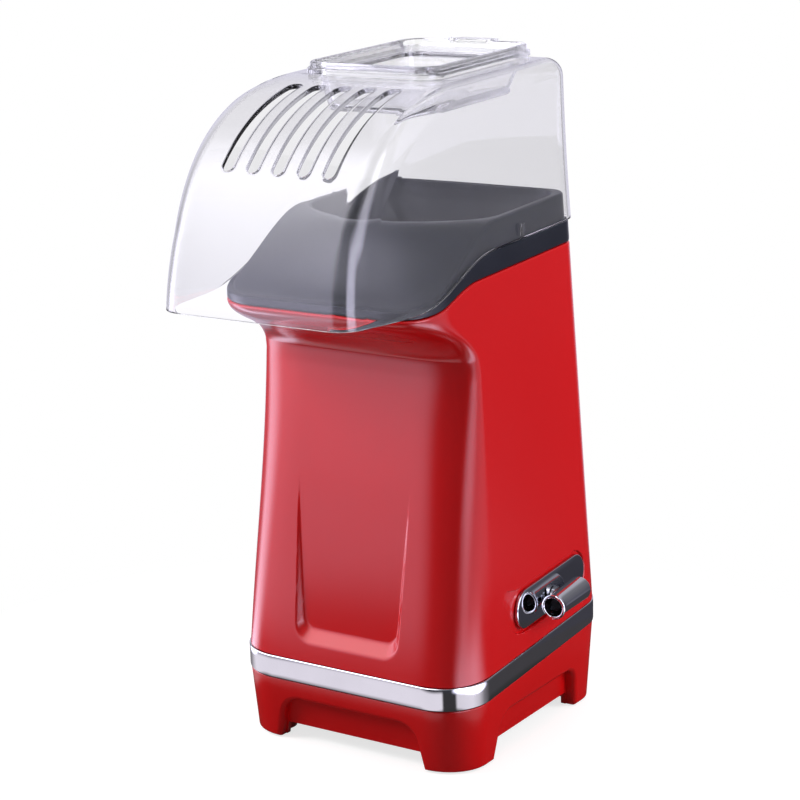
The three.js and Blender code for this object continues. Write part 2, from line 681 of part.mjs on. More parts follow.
/** How the hood's front runs: a superellipse from its lower edge to the flat top. */
function hoodFront(z, inset) {
  const rise = clamp((z - hoodCurveFloor) / (hoodTop - inset - hoodCurveFloor), 0, 1);
  const reach = (1 - rise ** HOOD_CURVE_POWER) ** (1 / HOOD_CURVE_POWER);
  return HOOD_BROW - (HOOD_BROW - HOOD_FRONT - inset) * reach;
}

/** Setback of a rounded top edge of a given radius at height z. */
function edgeSetback(z, top, radius) {
  const up = clamp((z - (top - radius)) / radius, 0, 1);
  return radius * (1 - Math.sqrt(1 - up * up));
}

function hoodLoop(z, inset) {
  const top = hoodTop - inset;
  const rise = (z - hoodSeat) / HOOD_HEIGHT;
  const front = hoodFront(z, inset);
  const slope = (hoodFront(Math.min(z + 0.2, top), inset) - hoodFront(z - 0.2, inset)) / 0.4;
  const setback = edgeSetback(z, top, HOOD_TOP_CORNER - inset);
  const radius = lerp(HOOD_FRONT_CORNER, HOOD_TOP_CORNER, clamp(rise, 0, 1) ** 2) - inset;
  const section = {
    half: lerp(HEAD_HALF_WIDTH, HOOD_TOP_HALF_WIDTH, rise) - inset - setback,
    front,
    back: lerp(HEAD_BACK + 0.6, HOOD_BACK_TOP, rise) - inset - edgeSetback(z, top, HOOD_BACK_CORNER - inset),
    frontCorner: Math.max(radius - setback, 1.5),
    frontDepth: clamp(radius * Math.hypot(1, slope), 1.5, HOOD_BROW + 8 - front),
    backCorner: Math.max(radius - setback, 1.5),
  };
  const nose = HOOD_FRONT + HOOD_FRONT_CORNER;
  const narrow = (y) => {
    const along = clamp((HOOD_CHEEK - y) / (HOOD_CHEEK - nose), 0, 1);
    return 1 - (HOOD_NARROWING / HEAD_HALF_WIDTH) * along ** 3;
  };
  const split = (p, next) => {
    const parts = Math.abs(next.y - p.y) > 25 ? 6 : 1;
    return range(parts).map((i) => p.clone().lerp(next, i / parts));
  };
  return outline(section, 6)
    .flatMap((p, i, all) => split(p, all[(i + 1) % all.length]))
    .map((p) => new THREE.Vector3(p.x * narrow(p.y), p.y, z));
}

function hoodSolid(inset) {
  const floor = lipLow - 20 - inset;
  const top = hoodTop - inset;
  const heights = steps(0, Math.PI / 2, 13).map((angle) => lerp(floor, top, Math.sin(angle)));
  const loops = heights.map((z) => hoodLoop(z, inset));
  const counts = loops.map((loop) => loop.length);
  const fewest = Math.min(...counts);
  return loft(loops.map((loop) => (loop.length === fewest ? loop : loop.slice(0, fewest))));
}

function hood() {
  const side = hoodLoop(hoodSeat + CLIP_SIZE, 0).reduce((most, p) => Math.max(most, p.x), 0);
  const clipFront = CLIP_AXIS - CLIP_SIZE / 2;
  const clipLow = hoodSeat + 1;
  const clip = box([side - 1, clipFront, clipLow], [side + 0.6, clipFront + CLIP_SIZE, clipLow + CLIP_SIZE]);
  const shell = hoodSolid(0).subtract(hoodSolid(HOOD_WALL)).subtract(below(hoodEdge)).add(clip);
  const opening = stack(() => cupSection(CUP_NECK_INSET - 2 * GAP), [hoodTop - 20, hoodTop + 20]);
  return shell.subtract(opening).subtract(union(...range(SLOT_COUNT).map(slotCutter)));
}

/** One vent slot: a stadium pushed through the curved front at right angles to its chord. */
function slotCutter(index) {
  const x = (index - (SLOT_COUNT - 1) / 2) * SLOT_PITCH;
  const heightAt = (y) => {
    const reach = (HOOD_BROW - y) / (HOOD_BROW - HOOD_FRONT);
    const rise = (1 - reach ** HOOD_CURVE_POWER) ** (1 / HOOD_CURVE_POWER);
    return lerp(hoodCurveFloor, hoodTop, rise);
  };
  const low = new THREE.Vector3(x, SLOT_FRONT, heightAt(SLOT_FRONT));
  const high = new THREE.Vector3(x, SLOT_BACK, heightAt(SLOT_BACK));
  const along = high.clone().sub(low);
  const radius = SLOT_WIDTH / 2;
  const shape = new THREE.Shape();
  shape.absarc(along.length() - radius, 0, radius, -Math.PI / 2, Math.PI / 2, false);
  shape.absarc(radius, 0, radius, Math.PI / 2, (3 * Math.PI) / 2, false);
  const geometry = new THREE.ExtrudeGeometry(shape, { depth: 60, bevelEnabled: false, curveSegments: 6 });
  geometry.translate(0, 0, -30);
  const side = new THREE.Vector3(-1, 0, 0);
  const forward = along.clone().normalize();
  const frame = new THREE.Matrix4().makeBasis(forward, side, forward.clone().cross(side));
  geometry.applyMatrix4(frame.setPosition(low));
  return solid(geometry);
}

const CUP_NECK_INSET = 3.2; // cup's body inside its flange
const cupTop = hoodTop + GAP + CUP_FLANGE + CUP_RIM;
const cupFloor = cupTop - CUP_DEPTH;

const cupSection = (inset) => ({
  half: CUP_HALF_WIDTH - inset,
  front: CUP_FRONT + inset,
  back: CUP_BACK - inset - (inset > 2 ? 3.4 : 0),
  frontCorner: Math.max(CUP_CORNER - inset * 0.4, 1),
  backCorner: Math.max(CUP_CORNER - inset * 0.4, 1),
});

function measuringCup() {
  const flangeFloor = hoodTop + GAP;
  const taper = (z) => CUP_NECK_INSET + 3 * clamp((flangeFloor - z) / (flangeFloor - cupFloor), 0, 1);
  const outer = stack((z) => cupSection(taper(z)), [cupFloor, flangeFloor, flangeFloor + 1]);
  const flange = stack(() => cupSection(-0.8), [flangeFloor, flangeFloor + CUP_FLANGE]);
  const rim = stack(() => cupSection(0), [flangeFloor + 1, cupTop]);
  const inner = stack((z) => cupSection(taper(z) + CUP_WALL), [cupFloor + CUP_WALL, flangeFloor, cupTop + 1]);
  const tabHalf = CUP_TAB_WIDTH / 2;
  const tab = box([-tabHalf, CUP_BACK - 2, cupTop - 1.6], [tabHalf, CUP_BACK + CUP_TAB_LENGTH, cupTop]);
  const block = box([-tabHalf - 1, CUP_BACK - 2.6, cupTop - 3], [tabHalf + 1, CUP_BACK + 1.5, cupTop + 0.8]);
  const notch = box([-5, CUP_BACK - 4, cupTop - 0.6], [5, CUP_BACK + 0.4, cupTop + 2]);
  return union(outer, flange, rim, tab, block).subtract(notch).subtract(inner);
}

// ---- Switch ----

const handleAxisX = plateFace + HANDLE_STAND_OFF;
const spindle = (x) => [x, HANDLE_AXIS, handleMiddle];

function switchPlate() {
  return stadium(PLATE_AXIS, plateMiddle, PLATE_LENGTH, PLATE_HEIGHT, pocketFloor + GAP, plateFace).subtract(
    rod(spindle(pocketFloor - 5), spindle(plateFace + 5), SPINDLE_RADIUS + 2 * GAP),
  );
}

/** The lever: a tube with a rolled ring round its front end, on an axis along Y. */
function switchHandle() {
  const half = HANDLE_LENGTH / 2;
  const front = HANDLE_RADIUS - HANDLE_TAPER;
  const profile = [
    [HANDLE_BORE, half],
    [HANDLE_RING - 0.5, half],
    [HANDLE_RING, half - 0.5],
    [HANDLE_RING, half - 1.2],
    [front, half - 1.7],
    [HANDLE_RADIUS, -half + 0.5],
    [HANDLE_RADIUS - 0.5, -half],
    [HANDLE_BORE, -half],
    [HANDLE_BORE, half],
  ];
  return turned(profile, 0, 0, 32)
    .rotate([90, 0, 0])
    .translate([handleAxisX, HANDLE_AXIS, handleMiddle]);
}

function switchNeck() {
  const start = plateFace + GAP;
  const along = (y) => [handleAxisX, HANDLE_AXIS + y, handleMiddle];
  const lever = rod(along(-HANDLE_LENGTH), along(HANDLE_LENGTH), HANDLE_RADIUS + GAP, undefined, 32);
  return rod(spindle(start), spindle(handleAxisX), NECK_RADIUS, NECK_RADIUS * 0.6)
    .subtract(lever)
    .add(rod(spindle(switchFace - SWITCH_BODY_LENGTH / 2), spindle(start + 0.5), SPINDLE_RADIUS));
}

const switchFace = padFace - 2 * GAP - SWITCH_NUT_HEIGHT; // front of the switch body, behind its nut

const switchBack = switchFace - SWITCH_BODY_LENGTH;
const lugRise = handleMiddle - SWITCH_BODY_WIDTH * 0.3;

function rotarySwitch() {
  const half = SWITCH_BODY_WIDTH / 2;
  const low = [switchBack, HANDLE_AXIS - half, handleMiddle - half];
  const high = [switchFace, HANDLE_AXIS + half, handleMiddle + half];
  const lugs = [-1, 0, 1].map((step) => {
    const y = HANDLE_AXIS + step * SWITCH_LUG;
    return box([switchBack - SWITCH_LUG, y - 1, lugRise - 0.5], [switchBack + 1, y + 1, lugRise + 0.5]);
  });
  const spindleEnd = switchFace - SWITCH_BODY_LENGTH / 2 - GAP;
  return box(low, high)
    .add(rod(spindle(switchFace - 1), spindle(pocketFloor - GAP), BUSHING_RADIUS))
    .add(union(...lugs))
    .subtract(rod(spindle(spindleEnd), spindle(pocketFloor + 9), SPINDLE_RADIUS + GAP));
}

function switchNut() {
  const hole = rod(spindle(switchFace - 9), spindle(padFace + 9), BUSHING_RADIUS + GAP);
  return rod(spindle(switchFace + GAP), spindle(padFace - GAP), SWITCH_NUT_RADIUS, undefined, 6).subtract(hole);
}

// ---- Core: chamber, heater, fan and motor ----

function poppingChamber() {
  const inner = CHAMBER_RADIUS;
  const outer = CHAMBER_RADIUS + CHAMBER_WALL;
  const body = turned([
    [0, chamberFloor + 3], [inner * 0.75, chamberFloor + 1], [inner, chamberFloor + 7], [inner, chamberTop],
    [chamberFlange, chamberTop], [chamberFlange, chamberTop - CHAMBER_WALL], [outer, chamberTop - CHAMBER_WALL],
    [outer, chamberFloor + 6.6], [inner * 0.77, chamberFloor], [0, chamberFloor + 2],
  ], 0, CORE_AXIS, 40);
  const vents = range(12).map((i) =>
    box([CHAMBER_RADIUS - 4, -1, -6], [CHAMBER_RADIUS + 4, 1, 6])
      .rotate([30, 0, 0])
      .rotate([0, 0, i * 30])
      .translate([0, CORE_AXIS, chamberFloor + 16]),
  );
  return body.subtract(union(...vents));
}

function heaterFrame() {
  const half = shieldRadius - 2;
  const plate = box([-half, -0.5, heaterFloor], [half, 0.5, heaterTop]);
  const coils = COIL_RADII.map((radius) => coilRing(radius, COIL_WIRE + GAP, 0));
  return plate.add(plate.rotate([0, 0, 90])).translate([0, CORE_AXIS, 0]).subtract(union(...coils));
}

function coilRing(radius, wire) {
  const geometry = new THREE.TorusGeometry(radius, wire, 5, 28);
  geometry.translate(0, CORE_AXIS, (heaterFloor + heaterTop) / 2);
  return solid(geometry);
}

function heatShield() {
  const outer = shieldRadius + SHIELD_WALL;
  return tube(shieldRadius, outer, fanHousingTop + GAP, shieldTop, 0, CORE_AXIS, 40);
}

function fanHousing() {
  const outer = fanHousingRadius + FAN_HOUSING_WALL;
  const deckTop = deckFloor + 2.4;
  const ledge = fanHousingTop - 3;
  const profile = [
    [fanHousingRadius, deckFloor],
    [outer, deckFloor],
    [outer, fanHousingTop + 4],
    [fanHousingRadius, fanHousingTop + 4],
    [fanHousingRadius, fanHousingTop],
    [shieldRadius - 4, fanHousingTop],
    [shieldRadius - 4, ledge],
    [fanHousingRadius, ledge],
    [fanHousingRadius, deckFloor],
  ];
  const duct = turned(profile, 0, CORE_AXIS, 40);
  const reach = postSpacing + POST_RADIUS + 1.4;
  const deckPlan = outline({
    half: reach, front: CORE_AXIS - reach, back: CORE_AXIS + reach, frontCorner: 7, backCorner: 7,
  });
  const ringRadius = fanHousingRadius * 0.62;
  const inlets = range(8).map((i) => {
    const angle = (i * Math.PI) / 4 + Math.PI / 8;
    const x = ringRadius * Math.cos(angle);
    const y = CORE_AXIS + ringRadius * Math.sin(angle);
    return rod([x, y, deckFloor - 2], [x, y, deckTop + 2], ringRadius / 4, undefined, 14);
  });
  const shaftHole = rod([0, CORE_AXIS, deckFloor - 2], [0, CORE_AXIS, deckTop + 2], 5);
  const posts = postPlaces.map(([x, y]) => rod([x, y, 0], [x, y, deckFloor + 1], POST_RADIUS, POST_RADIUS, 20));
  const screwTop = PLATE_FLOOR + SCREW_LENGTH + 2;
  const holeRadius = SCREW_RADIUS + GAP;
  const screwHoles = postFeet.map(([x, y]) => rod([x, y, -4], [x, y, screwTop], holeRadius, undefined, 14));
  const underPosts = box([-90, -120, -60], [90, 120, postTop]);
  return prismZ(deckPlan, deckFloor, deckTop)
    .subtract(union(...inlets, shaftHole))
    .add(duct)
    .add(union(...posts))
    .subtract(level(union(underPosts, ...screwHoles)));
}

function fanImpeller() {
  const low = fanFloor;
  const high = low + FAN_HEIGHT;
  const disc = tube(SHAFT_RADIUS + GAP, fanRadius, low, low + 1.2, 0, 0, 36);
  const hub = tube(SHAFT_RADIUS + GAP, 6, low, high, 0, 0, 24);
  const blade = box([SHAFT_RADIUS * 3, -0.6, low + 0.6], [fanRadius - 1, 0.6, high]);
  const blades = range(FAN_BLADES).map((i) => blade.rotate([0, 0, (i * 360) / FAN_BLADES + 12]));
  const bore = rod([0, 0, low - 2], [0, 0, high + 2], SHAFT_RADIUS + GAP, SHAFT_RADIUS + GAP, 24);
  return union(disc, hub, ...blades).subtract(bore).translate([0, CORE_AXIS, 0]);
}

const coreAt = (z) => [0, CORE_AXIS, z];
const shaftDepth = MOTOR_LENGTH / 3; // shaft inside the motor
const shaftLow = motorTop - shaftDepth;
const motorShaft = () => rod(coreAt(shaftLow), coreAt(fanFloor + FAN_HEIGHT), SHAFT_RADIUS, undefined, 16);

function motorCan() {
  const bore = rod(coreAt(shaftLow - GAP), coreAt(motorTop + 3), SHAFT_RADIUS + GAP, undefined, 16);
  const windows = [-1, 1].map((side) => {
    const x = side * MOTOR_RADIUS * 0.75;
    const back = CORE_AXIS - MOTOR_RADIUS * 0.75;
    return box([x - 2, -FAR, motorFloor + MOTOR_LENGTH * 0.2], [x + 2, back, motorFloor + MOTOR_LENGTH * 0.6]);
  });
  return rod(coreAt(motorFloor), coreAt(motorTop - 2), MOTOR_RADIUS, undefined, 32)
    .add(rod(coreAt(motorTop - 3), coreAt(motorTop), MOTOR_BOSS))
    .subtract(union(bore, ...windows));
}

const capTop = motorFloor - GAP;
const capFloor = capTop - END_CAP_HEIGHT;
const capBossFloor = capFloor - 2;
const boardTop = capBossFloor - GAP;
const bridgeTop = boardTop - BOARD_THICKNESS - GAP;

function motorEndCap() {
  return rod(coreAt(capFloor), coreAt(capTop), MOTOR_RADIUS - 1.4, MOTOR_RADIUS, 32).add(
    rod(coreAt(capBossFloor), coreAt(capFloor + 1), END_CAP_BOSS, END_CAP_BOSS, 20),
  );
}

const boardFloor = boardTop - BOARD_THICKNESS;
const rectifierBoard = () => rod(coreAt(boardFloor), coreAt(boardTop), MOTOR_RADIUS - 1, undefined, 28);

function rectifierBridge() {
  const half = BRIDGE_SIZE / 2;
  return box([-half, CORE_AXIS - half, bridgeTop - BRIDGE_HEIGHT], [half, CORE_AXIS + half, bridgeTop]);
}

const shieldBack = CORE_AXIS + shieldRadius + SHIELD_WALL + GAP;

const shieldClear = shieldRadius + SHIELD_WALL + GAP;
const shieldRoom = rod(coreAt(chamberFloor), coreAt(chamberTop), shieldClear, undefined, 48);
const thermostatRise = chamberFloor + CHAMBER_DEPTH * 0.3;
const thermostatBack = shieldBack + THERMOSTAT_DEPTH;
const fuseRise = chamberFloor + CHAMBER_DEPTH * 0.6;
const fuseAxis = shieldBack + FUSE_RADIUS + GAP;

function thermostat() {
  const at = (y) => [0, y, thermostatRise];
  const lugLow = thermostatRise - LUG_HALF;
  const lugTop = thermostatRise + LUG_HALF;
  const lugs = [-LUG_SIDE, LUG_SIDE].map((x) =>
    box([x - 1, thermostatBack - 0.5, lugLow], [x + 1, thermostatBack + 2.6, lugTop]),
  );
  return rod(at(shieldBack + 0.8), at(thermostatBack), THERMOSTAT_RADIUS)
    .add(rod(at(shieldBack), at(shieldBack + 1.2), THERMOSTAT_RADIUS * 1.2))
    .add(union(...lugs))
    .subtract(shieldRoom);
}

function thermalFuse() {
  const at = (x) => [x, fuseAxis, fuseRise];
  return rod(at(-FUSE_LEAD * 0.6), at(FUSE_LEAD * 0.6), FUSE_RADIUS, undefined, 16)
    .add(box([-3, shieldBack, fuseRise - 4], [3, shieldBack + 0.8, fuseRise + 4]))
    .add(rod(at(-FUSE_LEAD), at(FUSE_LEAD), FUSE_LEAD_RADIUS, undefined, 8))
    .subtract(shieldRoom);
}

const blockHoles = range(4).map((i) => blockBack - (BLOCK_LENGTH / 4) * (i + 0.5));
const blockHoleRise = blockFloor + BLOCK_HEIGHT / 2;

function terminalBlock() {
  const half = BLOCK_WIDTH / 2;
  const low = [GLAND_SIDE - half, blockBack - BLOCK_LENGTH, blockFloor];
  const high = [GLAND_SIDE + half, blockBack, blockFloor + BLOCK_HEIGHT];
  const hole = (y) => rod([-FAR, y, blockHoleRise], [FAR, y, blockHoleRise], WIRE_RADIUS + GAP, undefined, 10);
  return box(low, high).subtract(union(...blockHoles.map(hole)));
}

// ---- Wires ----

/** A round wire through points, from one end to the other. */
function wire(points) {
  const path = new THREE.CatmullRomCurve3(points.map((p) => new THREE.Vector3(...p)));
  const section = new THREE.Shape();
  section.absarc(0, 0, WIRE_RADIUS, 0, 2 * Math.PI, false);
  const options = { steps: 22, curveSegments: 3, bevelEnabled: false, extrudePath: path };
  return solid(new THREE.ExtrudeGeometry(section, options));
}

/** A wire's start inside a hole of the terminal block, then a short way straight out of it. */
function fromBlock(hole, side) {
  const y = blockHoles[hole];
  const start = new THREE.Vector3(GLAND_SIDE + side * (BLOCK_WIDTH / 2 - 2), y, blockHoleRise);
  const ends = [0, 3, 6].map((out) => start.clone().setX(start.x + side * out));
  return ends.map((p) => p.applyAxisAngle(new THREE.Vector3(1, 0, 0), -LEAN).toArray());
}

function switchWire() {
  const end = [switchBack - SWITCH_LUG - GAP, HANDLE_AXIS + SWITCH_LUG, lugRise];
  const bend = [end[0] - 4, end[1], end[2]];
  const middle = (blockHoleRise + lugRise) / 2;
  return wire([...fromBlock(3, 1), [end[0] - 10, end[1] + 8, middle], bend, end]);
}

function motorWire() {
  const end = [BRIDGE_SIZE / 4, CORE_AXIS + 2, bridgeTop - BRIDGE_HEIGHT - GAP];
  const middle = (blockHoleRise + end[2]) / 2;
  return wire([...fromBlock(2, 1), [end[0], end[1] + 14, middle], [end[0], end[1], end[2] - 4], end]);
}

function heaterWire() {
  const end = [-LUG_SIDE, thermostatBack + 1.6, thermostatRise - LUG_HALF - GAP];
  const housingBack = CORE_AXIS + fanHousingRadius + FAN_HOUSING_WALL;
  const between = (x, z) => [x, (housingBack + columnSection(z).back - SHELL_WALL) / 2, z];
  const rise = [between(-26, motorFloor), between(-14, deckFloor), between(-6, heaterTop)];
  return wire([...fromBlock(0, -1), ...rise, [end[0], end[1], end[2] - 6], end]);
}

function fuseWire() {
  const start = [LUG_SIDE, thermostatBack + 1.6, thermostatRise + LUG_HALF + GAP];
  const end = [FUSE_LEAD - 2, fuseAxis, fuseRise - FUSE_LEAD_RADIUS - GAP];
  return wire([start, [start[0], start[1], start[2] + 4], [end[0], end[1], end[2] - 5], end]);
}

// ---- Materials ----

const finish = (color, roughness, metalness = 0, extra = {}) =>
  new THREE.MeshStandardMaterial({ color, roughness, metalness, ...extra });
const red = finish(0xc8181b, 0.22);
const charcoal = finish(0x2c2f35, 0.5);
const clear = finish(0xe8eef2, 0.06, 0, { transparent: true, opacity: 0.3 });
const chrome = finish(0xd6d8dc, 0.08, 1);
const mirror = finish(0xb8bac0, 0.05, 1);
const aluminium = finish(0xb4b6ba, 0.35, 1);
const steel = finish(0x9a9da2, 0.4, 1);
const blackPlastic = finish(0x17181a, 0.55);
const whitePlastic = finish(0xdcdad2, 0.5);
const rubber = finish(0x101113, 0.85);
const silicone = finish(0xb6483c, 0.7);
const mica = finish(0xb9a98a, 0.6);
const nichrome = finish(0x6e6460, 0.5, 1);
const board = finish(0x2f5d3a, 0.6);
const redWire = finish(0xa02020, 0.6);
const blueWire = finish(0x2040a0, 0.6);

// ---- Assembly ----

const leaning = new THREE.Group();
leaning.rotation.x = LEAN;
const standing = new THREE.Group();

function place(group, name, shape, material) {
  const mesh = new THREE.Mesh(surface(shape), material);
  mesh.name = name;
  group.add(mesh);
}

const padNames = ["front_left", "front_right", "back_left", "back_right"];

place(leaning, "hood", hood(), clear);
place(leaning, "measuring_cup", measuringCup(), clear);
place(leaning, "chute_collar", chuteCollar(), charcoal);
place(leaning, "body_shell", bodyShell(), red);
place(leaning, "chrome_band", chromeBand(), chrome);
place(leaning, "base_skirt", baseSkirt(), red);
place(leaning, "switch_plate", switchPlate(), mirror);
place(leaning, "switch_handle", switchHandle(), chrome);
place(leaning, "switch_neck", switchNeck(), chrome);
place(leaning, "rotary_switch", rotarySwitch(), blackPlastic);
place(leaning, "switch_nut", switchNut(), steel);
place(leaning, "popping_chamber", poppingChamber(), aluminium);
place(leaning, "chamber_seal",
  tube(CHAMBER_RADIUS + 0.5, chamberFlange - 2, sealFloor, sealFloor + SEAL_THICKNESS, 0, CORE_AXIS), silicone);
place(leaning, "heat_shield", heatShield(), steel);
place(leaning, "heater_frame", heaterFrame(), mica);
COIL_RADII.forEach((radius, i) => {
  place(leaning, `heater_coil_${i + 1}`, coilRing(radius, COIL_WIRE), nichrome);
});
place(leaning, "fan_housing", fanHousing(), blackPlastic);
place(leaning, "fan_impeller", fanImpeller(), aluminium);
place(leaning, "motor_shaft", motorShaft(), steel);
place(leaning, "motor_can", motorCan(), steel);
place(leaning, "motor_end_cap", motorEndCap(), blackPlastic);
place(leaning, "rectifier_board", rectifierBoard(), board);
place(leaning, "rectifier_bridge", rectifierBridge(), blackPlastic);
place(leaning, "thermostat", thermostat(), steel);
place(leaning, "thermal_fuse", thermalFuse(), whitePlastic);
place(leaning, "wire_switch_feed", switchWire(), whitePlastic);
place(leaning, "wire_motor_feed", motorWire(), redWire);
place(leaning, "wire_heater_feed", heaterWire(), blueWire);
place(leaning, "wire_fuse_link", fuseWire(), blueWire);
place(standing, "bottom_plate", bottomPlate(), blackPlastic);
place(standing, "cord_gland", cordGland(), rubber);
place(standing, "terminal_block", terminalBlock(), whitePlastic);
padPlaces.forEach((spot, i) => place(standing, `foot_pad_${padNames[i]}`, footPad(spot), rubber));
postFeet.forEach((spot, i) => place(standing, `base_screw_${padNames[i]}`, baseScrew(spot), steel));

const popcornMaker = new THREE.Group();
popcornMaker.add(leaning, standing);

/** Stands the whole on Z = 0 with its plan centred on the origin. */
const bounds = new THREE.Box3().setFromObject(popcornMaker, true);
const middle = bounds.getCenter(new THREE.Vector3());
popcornMaker.position.set(-middle.x, -middle.y, -bounds.min.z);

export default popcornMaker;
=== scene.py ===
"""A hot-air popcorn maker: fine surfaces, finishes, a plain studio and a camera round its frame."""
import math

import bmesh
import bpy
import numpy as np
from mathutils import Matrix, Vector


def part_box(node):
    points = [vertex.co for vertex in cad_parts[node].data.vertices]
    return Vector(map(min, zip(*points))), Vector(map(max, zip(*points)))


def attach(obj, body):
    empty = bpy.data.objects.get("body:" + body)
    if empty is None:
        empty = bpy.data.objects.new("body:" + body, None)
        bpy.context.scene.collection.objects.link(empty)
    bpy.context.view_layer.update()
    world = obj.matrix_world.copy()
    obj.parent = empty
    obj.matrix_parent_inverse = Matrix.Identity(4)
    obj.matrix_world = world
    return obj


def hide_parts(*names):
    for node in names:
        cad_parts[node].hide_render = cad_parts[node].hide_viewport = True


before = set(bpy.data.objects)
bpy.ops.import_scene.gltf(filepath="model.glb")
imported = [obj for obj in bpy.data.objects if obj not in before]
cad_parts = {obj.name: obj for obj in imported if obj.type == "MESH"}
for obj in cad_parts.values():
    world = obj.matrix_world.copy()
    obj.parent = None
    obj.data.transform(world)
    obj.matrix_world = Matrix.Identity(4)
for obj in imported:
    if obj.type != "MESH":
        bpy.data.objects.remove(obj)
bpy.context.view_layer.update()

# ---- Dimensions of the maker, in millimetres, in the column's own upright frame ----

LEAN = math.radians(4.63)
GAP = 0.3  # between neighbouring pieces
WALL = 2.4
BAND_FLOOR, BAND_HEIGHT = 35.2, 10.4
BAND_TOP = BAND_FLOOR + BAND_HEIGHT
BAND_HALF, BAND_DEPTH, BAND_CORNER = 59.6, 68.9, 21.8
COLUMN_HEIGHT = 169.0
FOOT_INSET = 0.4  # how far column and base stand back from the band
HEAD_HALF, HEAD_BACK, HEAD_FRONT, HEAD_CORNER = 51.3, 57.4, -41.2, 13.4
SHOULDER = BAND_TOP + COLUMN_HEIGHT
LIP_FRONT, LIP_DROP, LIP_THICKNESS, LIP_CORNER = -82.0, 8.1, 3.9, 22.0
LIP_LOW = SHOULDER - LIP_DROP
LIP_TOP = LIP_LOW + LIP_THICKNESS
FACE_HALF, SIDE_START = 28.0, -37.7  # the flat front's half width, and where the flat sides begin
FLARE_HEIGHT = 25.0
SEAT = SHOULDER + 9.7
RIM_TOP, RIM_WIDTH = SEAT + 12.2, 2.2
THROAT_FLOOR = SEAT - 18
CORE_AXIS, CHAMBER_RADIUS = 7.0, 33.0
BOWL_HALF, BOWL_FRONT, BOWL_CURVE, BOWL_BACK, BOWL_CORNER = 44.5, -36.5, 0.0105, 51.0, 13.0
HOOD_RISE = 70.5
HOOD_TOP = SEAT + HOOD_RISE
HOOD_FRONT, HOOD_BROW, HOOD_CURVE_FLOOR, HOOD_POWER = -124.68, -25.0, HOOD_TOP - 94.8, 2.35
HOOD_TOP_HALF, HOOD_BACK_TOP = 46.9, 56.0
HOOD_BACK_CORNER, HOOD_FRONT_CORNER, HOOD_TOP_CORNER, HOOD_WALL = 9.0, 12.0, 7.0, 2.0
HOOD_CHEEK, HOOD_NARROWING = -38.0, 5.5  # where the sides start to close in, and how far they do
CUP_TOP = HOOD_TOP + GAP + 5.2
CUP_HALF, CUP_FRONT, CUP_BACK, CUP_CORNER, CUP_SHELF = 31.7, -34.5, 54.5, 9, 3.4
FINE = (22, 45, 68, 90)  # angles at which a finely rounded edge has its points

# ---- Small formulas ----


def lerp(a, b, t):
    """The value a share t of the way from a to b."""
    return a + (b - a) * t


def smooth(x, low, high):
    """An S curve: 0 below low, 1 above high, 3 t squared less 2 t cubed between."""
    t = np.clip((x - low) / (high - low), 0, 1)
    return t * t * (3 - 2 * t)


def soft_ramp(t):
    """A straight ramp from 0 to 1 whose two ends are rounded by parabolas of width ease."""
    ease = 0.15
    t = np.clip(t, 0, 1)
    scale = 1 / (1 - ease)
    start = scale * t**2 / (2 * ease)
    end = 1 - scale * (1 - t) ** 2 / (2 * ease)
    return np.where(t < ease, start, np.where(t > 1 - ease, end, scale * (t - ease / 2)))


def roll(radius, angles=(30, 60, 90)):
    """Steps round an edge: the radius times 1 less the cosine, and times 1 less the sine."""
    return [(radius * (1 - math.cos(a)), radius * (1 - math.sin(a))) for a in np.radians(angles)]


def points_at(*coordinates):
    """Points from their coordinates, which are spread to one shape."""
    return np.stack(np.broadcast_arrays(*coordinates), -1)


def even(count):
    """Shares that split an edge into count equal parts."""
    return np.arange(1, count) / count


def ring_weights(corner, right, rear, left, face):
    """How each point of a rounded rectangle's loop weighs its sizes.

    The loop runs anticlockwise from the right end of the front edge. A corner is a quarter turn
    in equal angles, and right, rear, left and face list where the points of each straight edge
    lie, as shares of its length. Rows are x and y weights for half, front corner, back corner,
    front, back, front depth and back depth."""
    turn = np.linspace(0, np.pi / 2, corner + 1)
    loops = []
    for side, at_front, start in ((1, 1, -1), (1, 0, 0), (-1, 0, 1), (-1, 1, 2)):
        cos, sin = np.cos(turn + start * np.pi / 2), np.sin(turn + start * np.pi / 2)
        rows = np.zeros((len(turn), 2, 7))
        rows[:, 0, 0] = side
        rows[:, 0, 1 if at_front else 2] = cos - side
        rows[:, 1, 3 if at_front else 4] = 1
        rows[:, 1, 5 if at_front else 6] = sin + (1 if at_front else -1)
        loops.append(rows)
    out = []
    for i, share in enumerate((right, rear, left, face)):
        share = np.asarray(share, float)[:, None, None]
        out += [loops[i], lerp(loops[i][-1], loops[(i + 1) % 4][0], share)]
    return np.concatenate(out)


def loop_of(section, weights):
    """The x and y of every point of a rounded rectangle's loop, from its sizes and the weights.

    Where the section has a power n, its front corners are superellipses: the cosine and sine of a
    quarter turn are each raised to the power 2 / n. Each size may be a column, one per ring."""
    section = {key: np.atleast_2d(value) for key, value in section.items()}
    corner, back_corner = section["front_corner"], section["back_corner"]
    share = 2 / section.get("power", 2.0)
    side, at_front = weights[:, 0, 0], weights[:, 1, 3]
    cos, sin = side + weights[:, 0, 1], weights[:, 1, 5] - at_front
    front_x = np.where(at_front > 0, np.sign(cos) * np.abs(cos) ** share - side, 0)
    front_y = at_front - np.abs(sin) ** share
    x = section["half"] * side + corner * front_x + back_corner * weights[:, 0, 2]
    y = section["front"] * at_front + section["back"] * weights[:, 1, 4]
    depth = section.get("front_depth", corner)
    return x, y + depth * front_y + back_corner * weights[:, 1, 6]


def plain_plan(half, front, back, corner, inset=0.0):
    """Plan of a rounded rectangle with four like corners, whose sides are drawn in by inset."""
    return dict(half=half - inset, front=front + inset, back=back - inset,
                front_corner=corner, back_corner=corner)


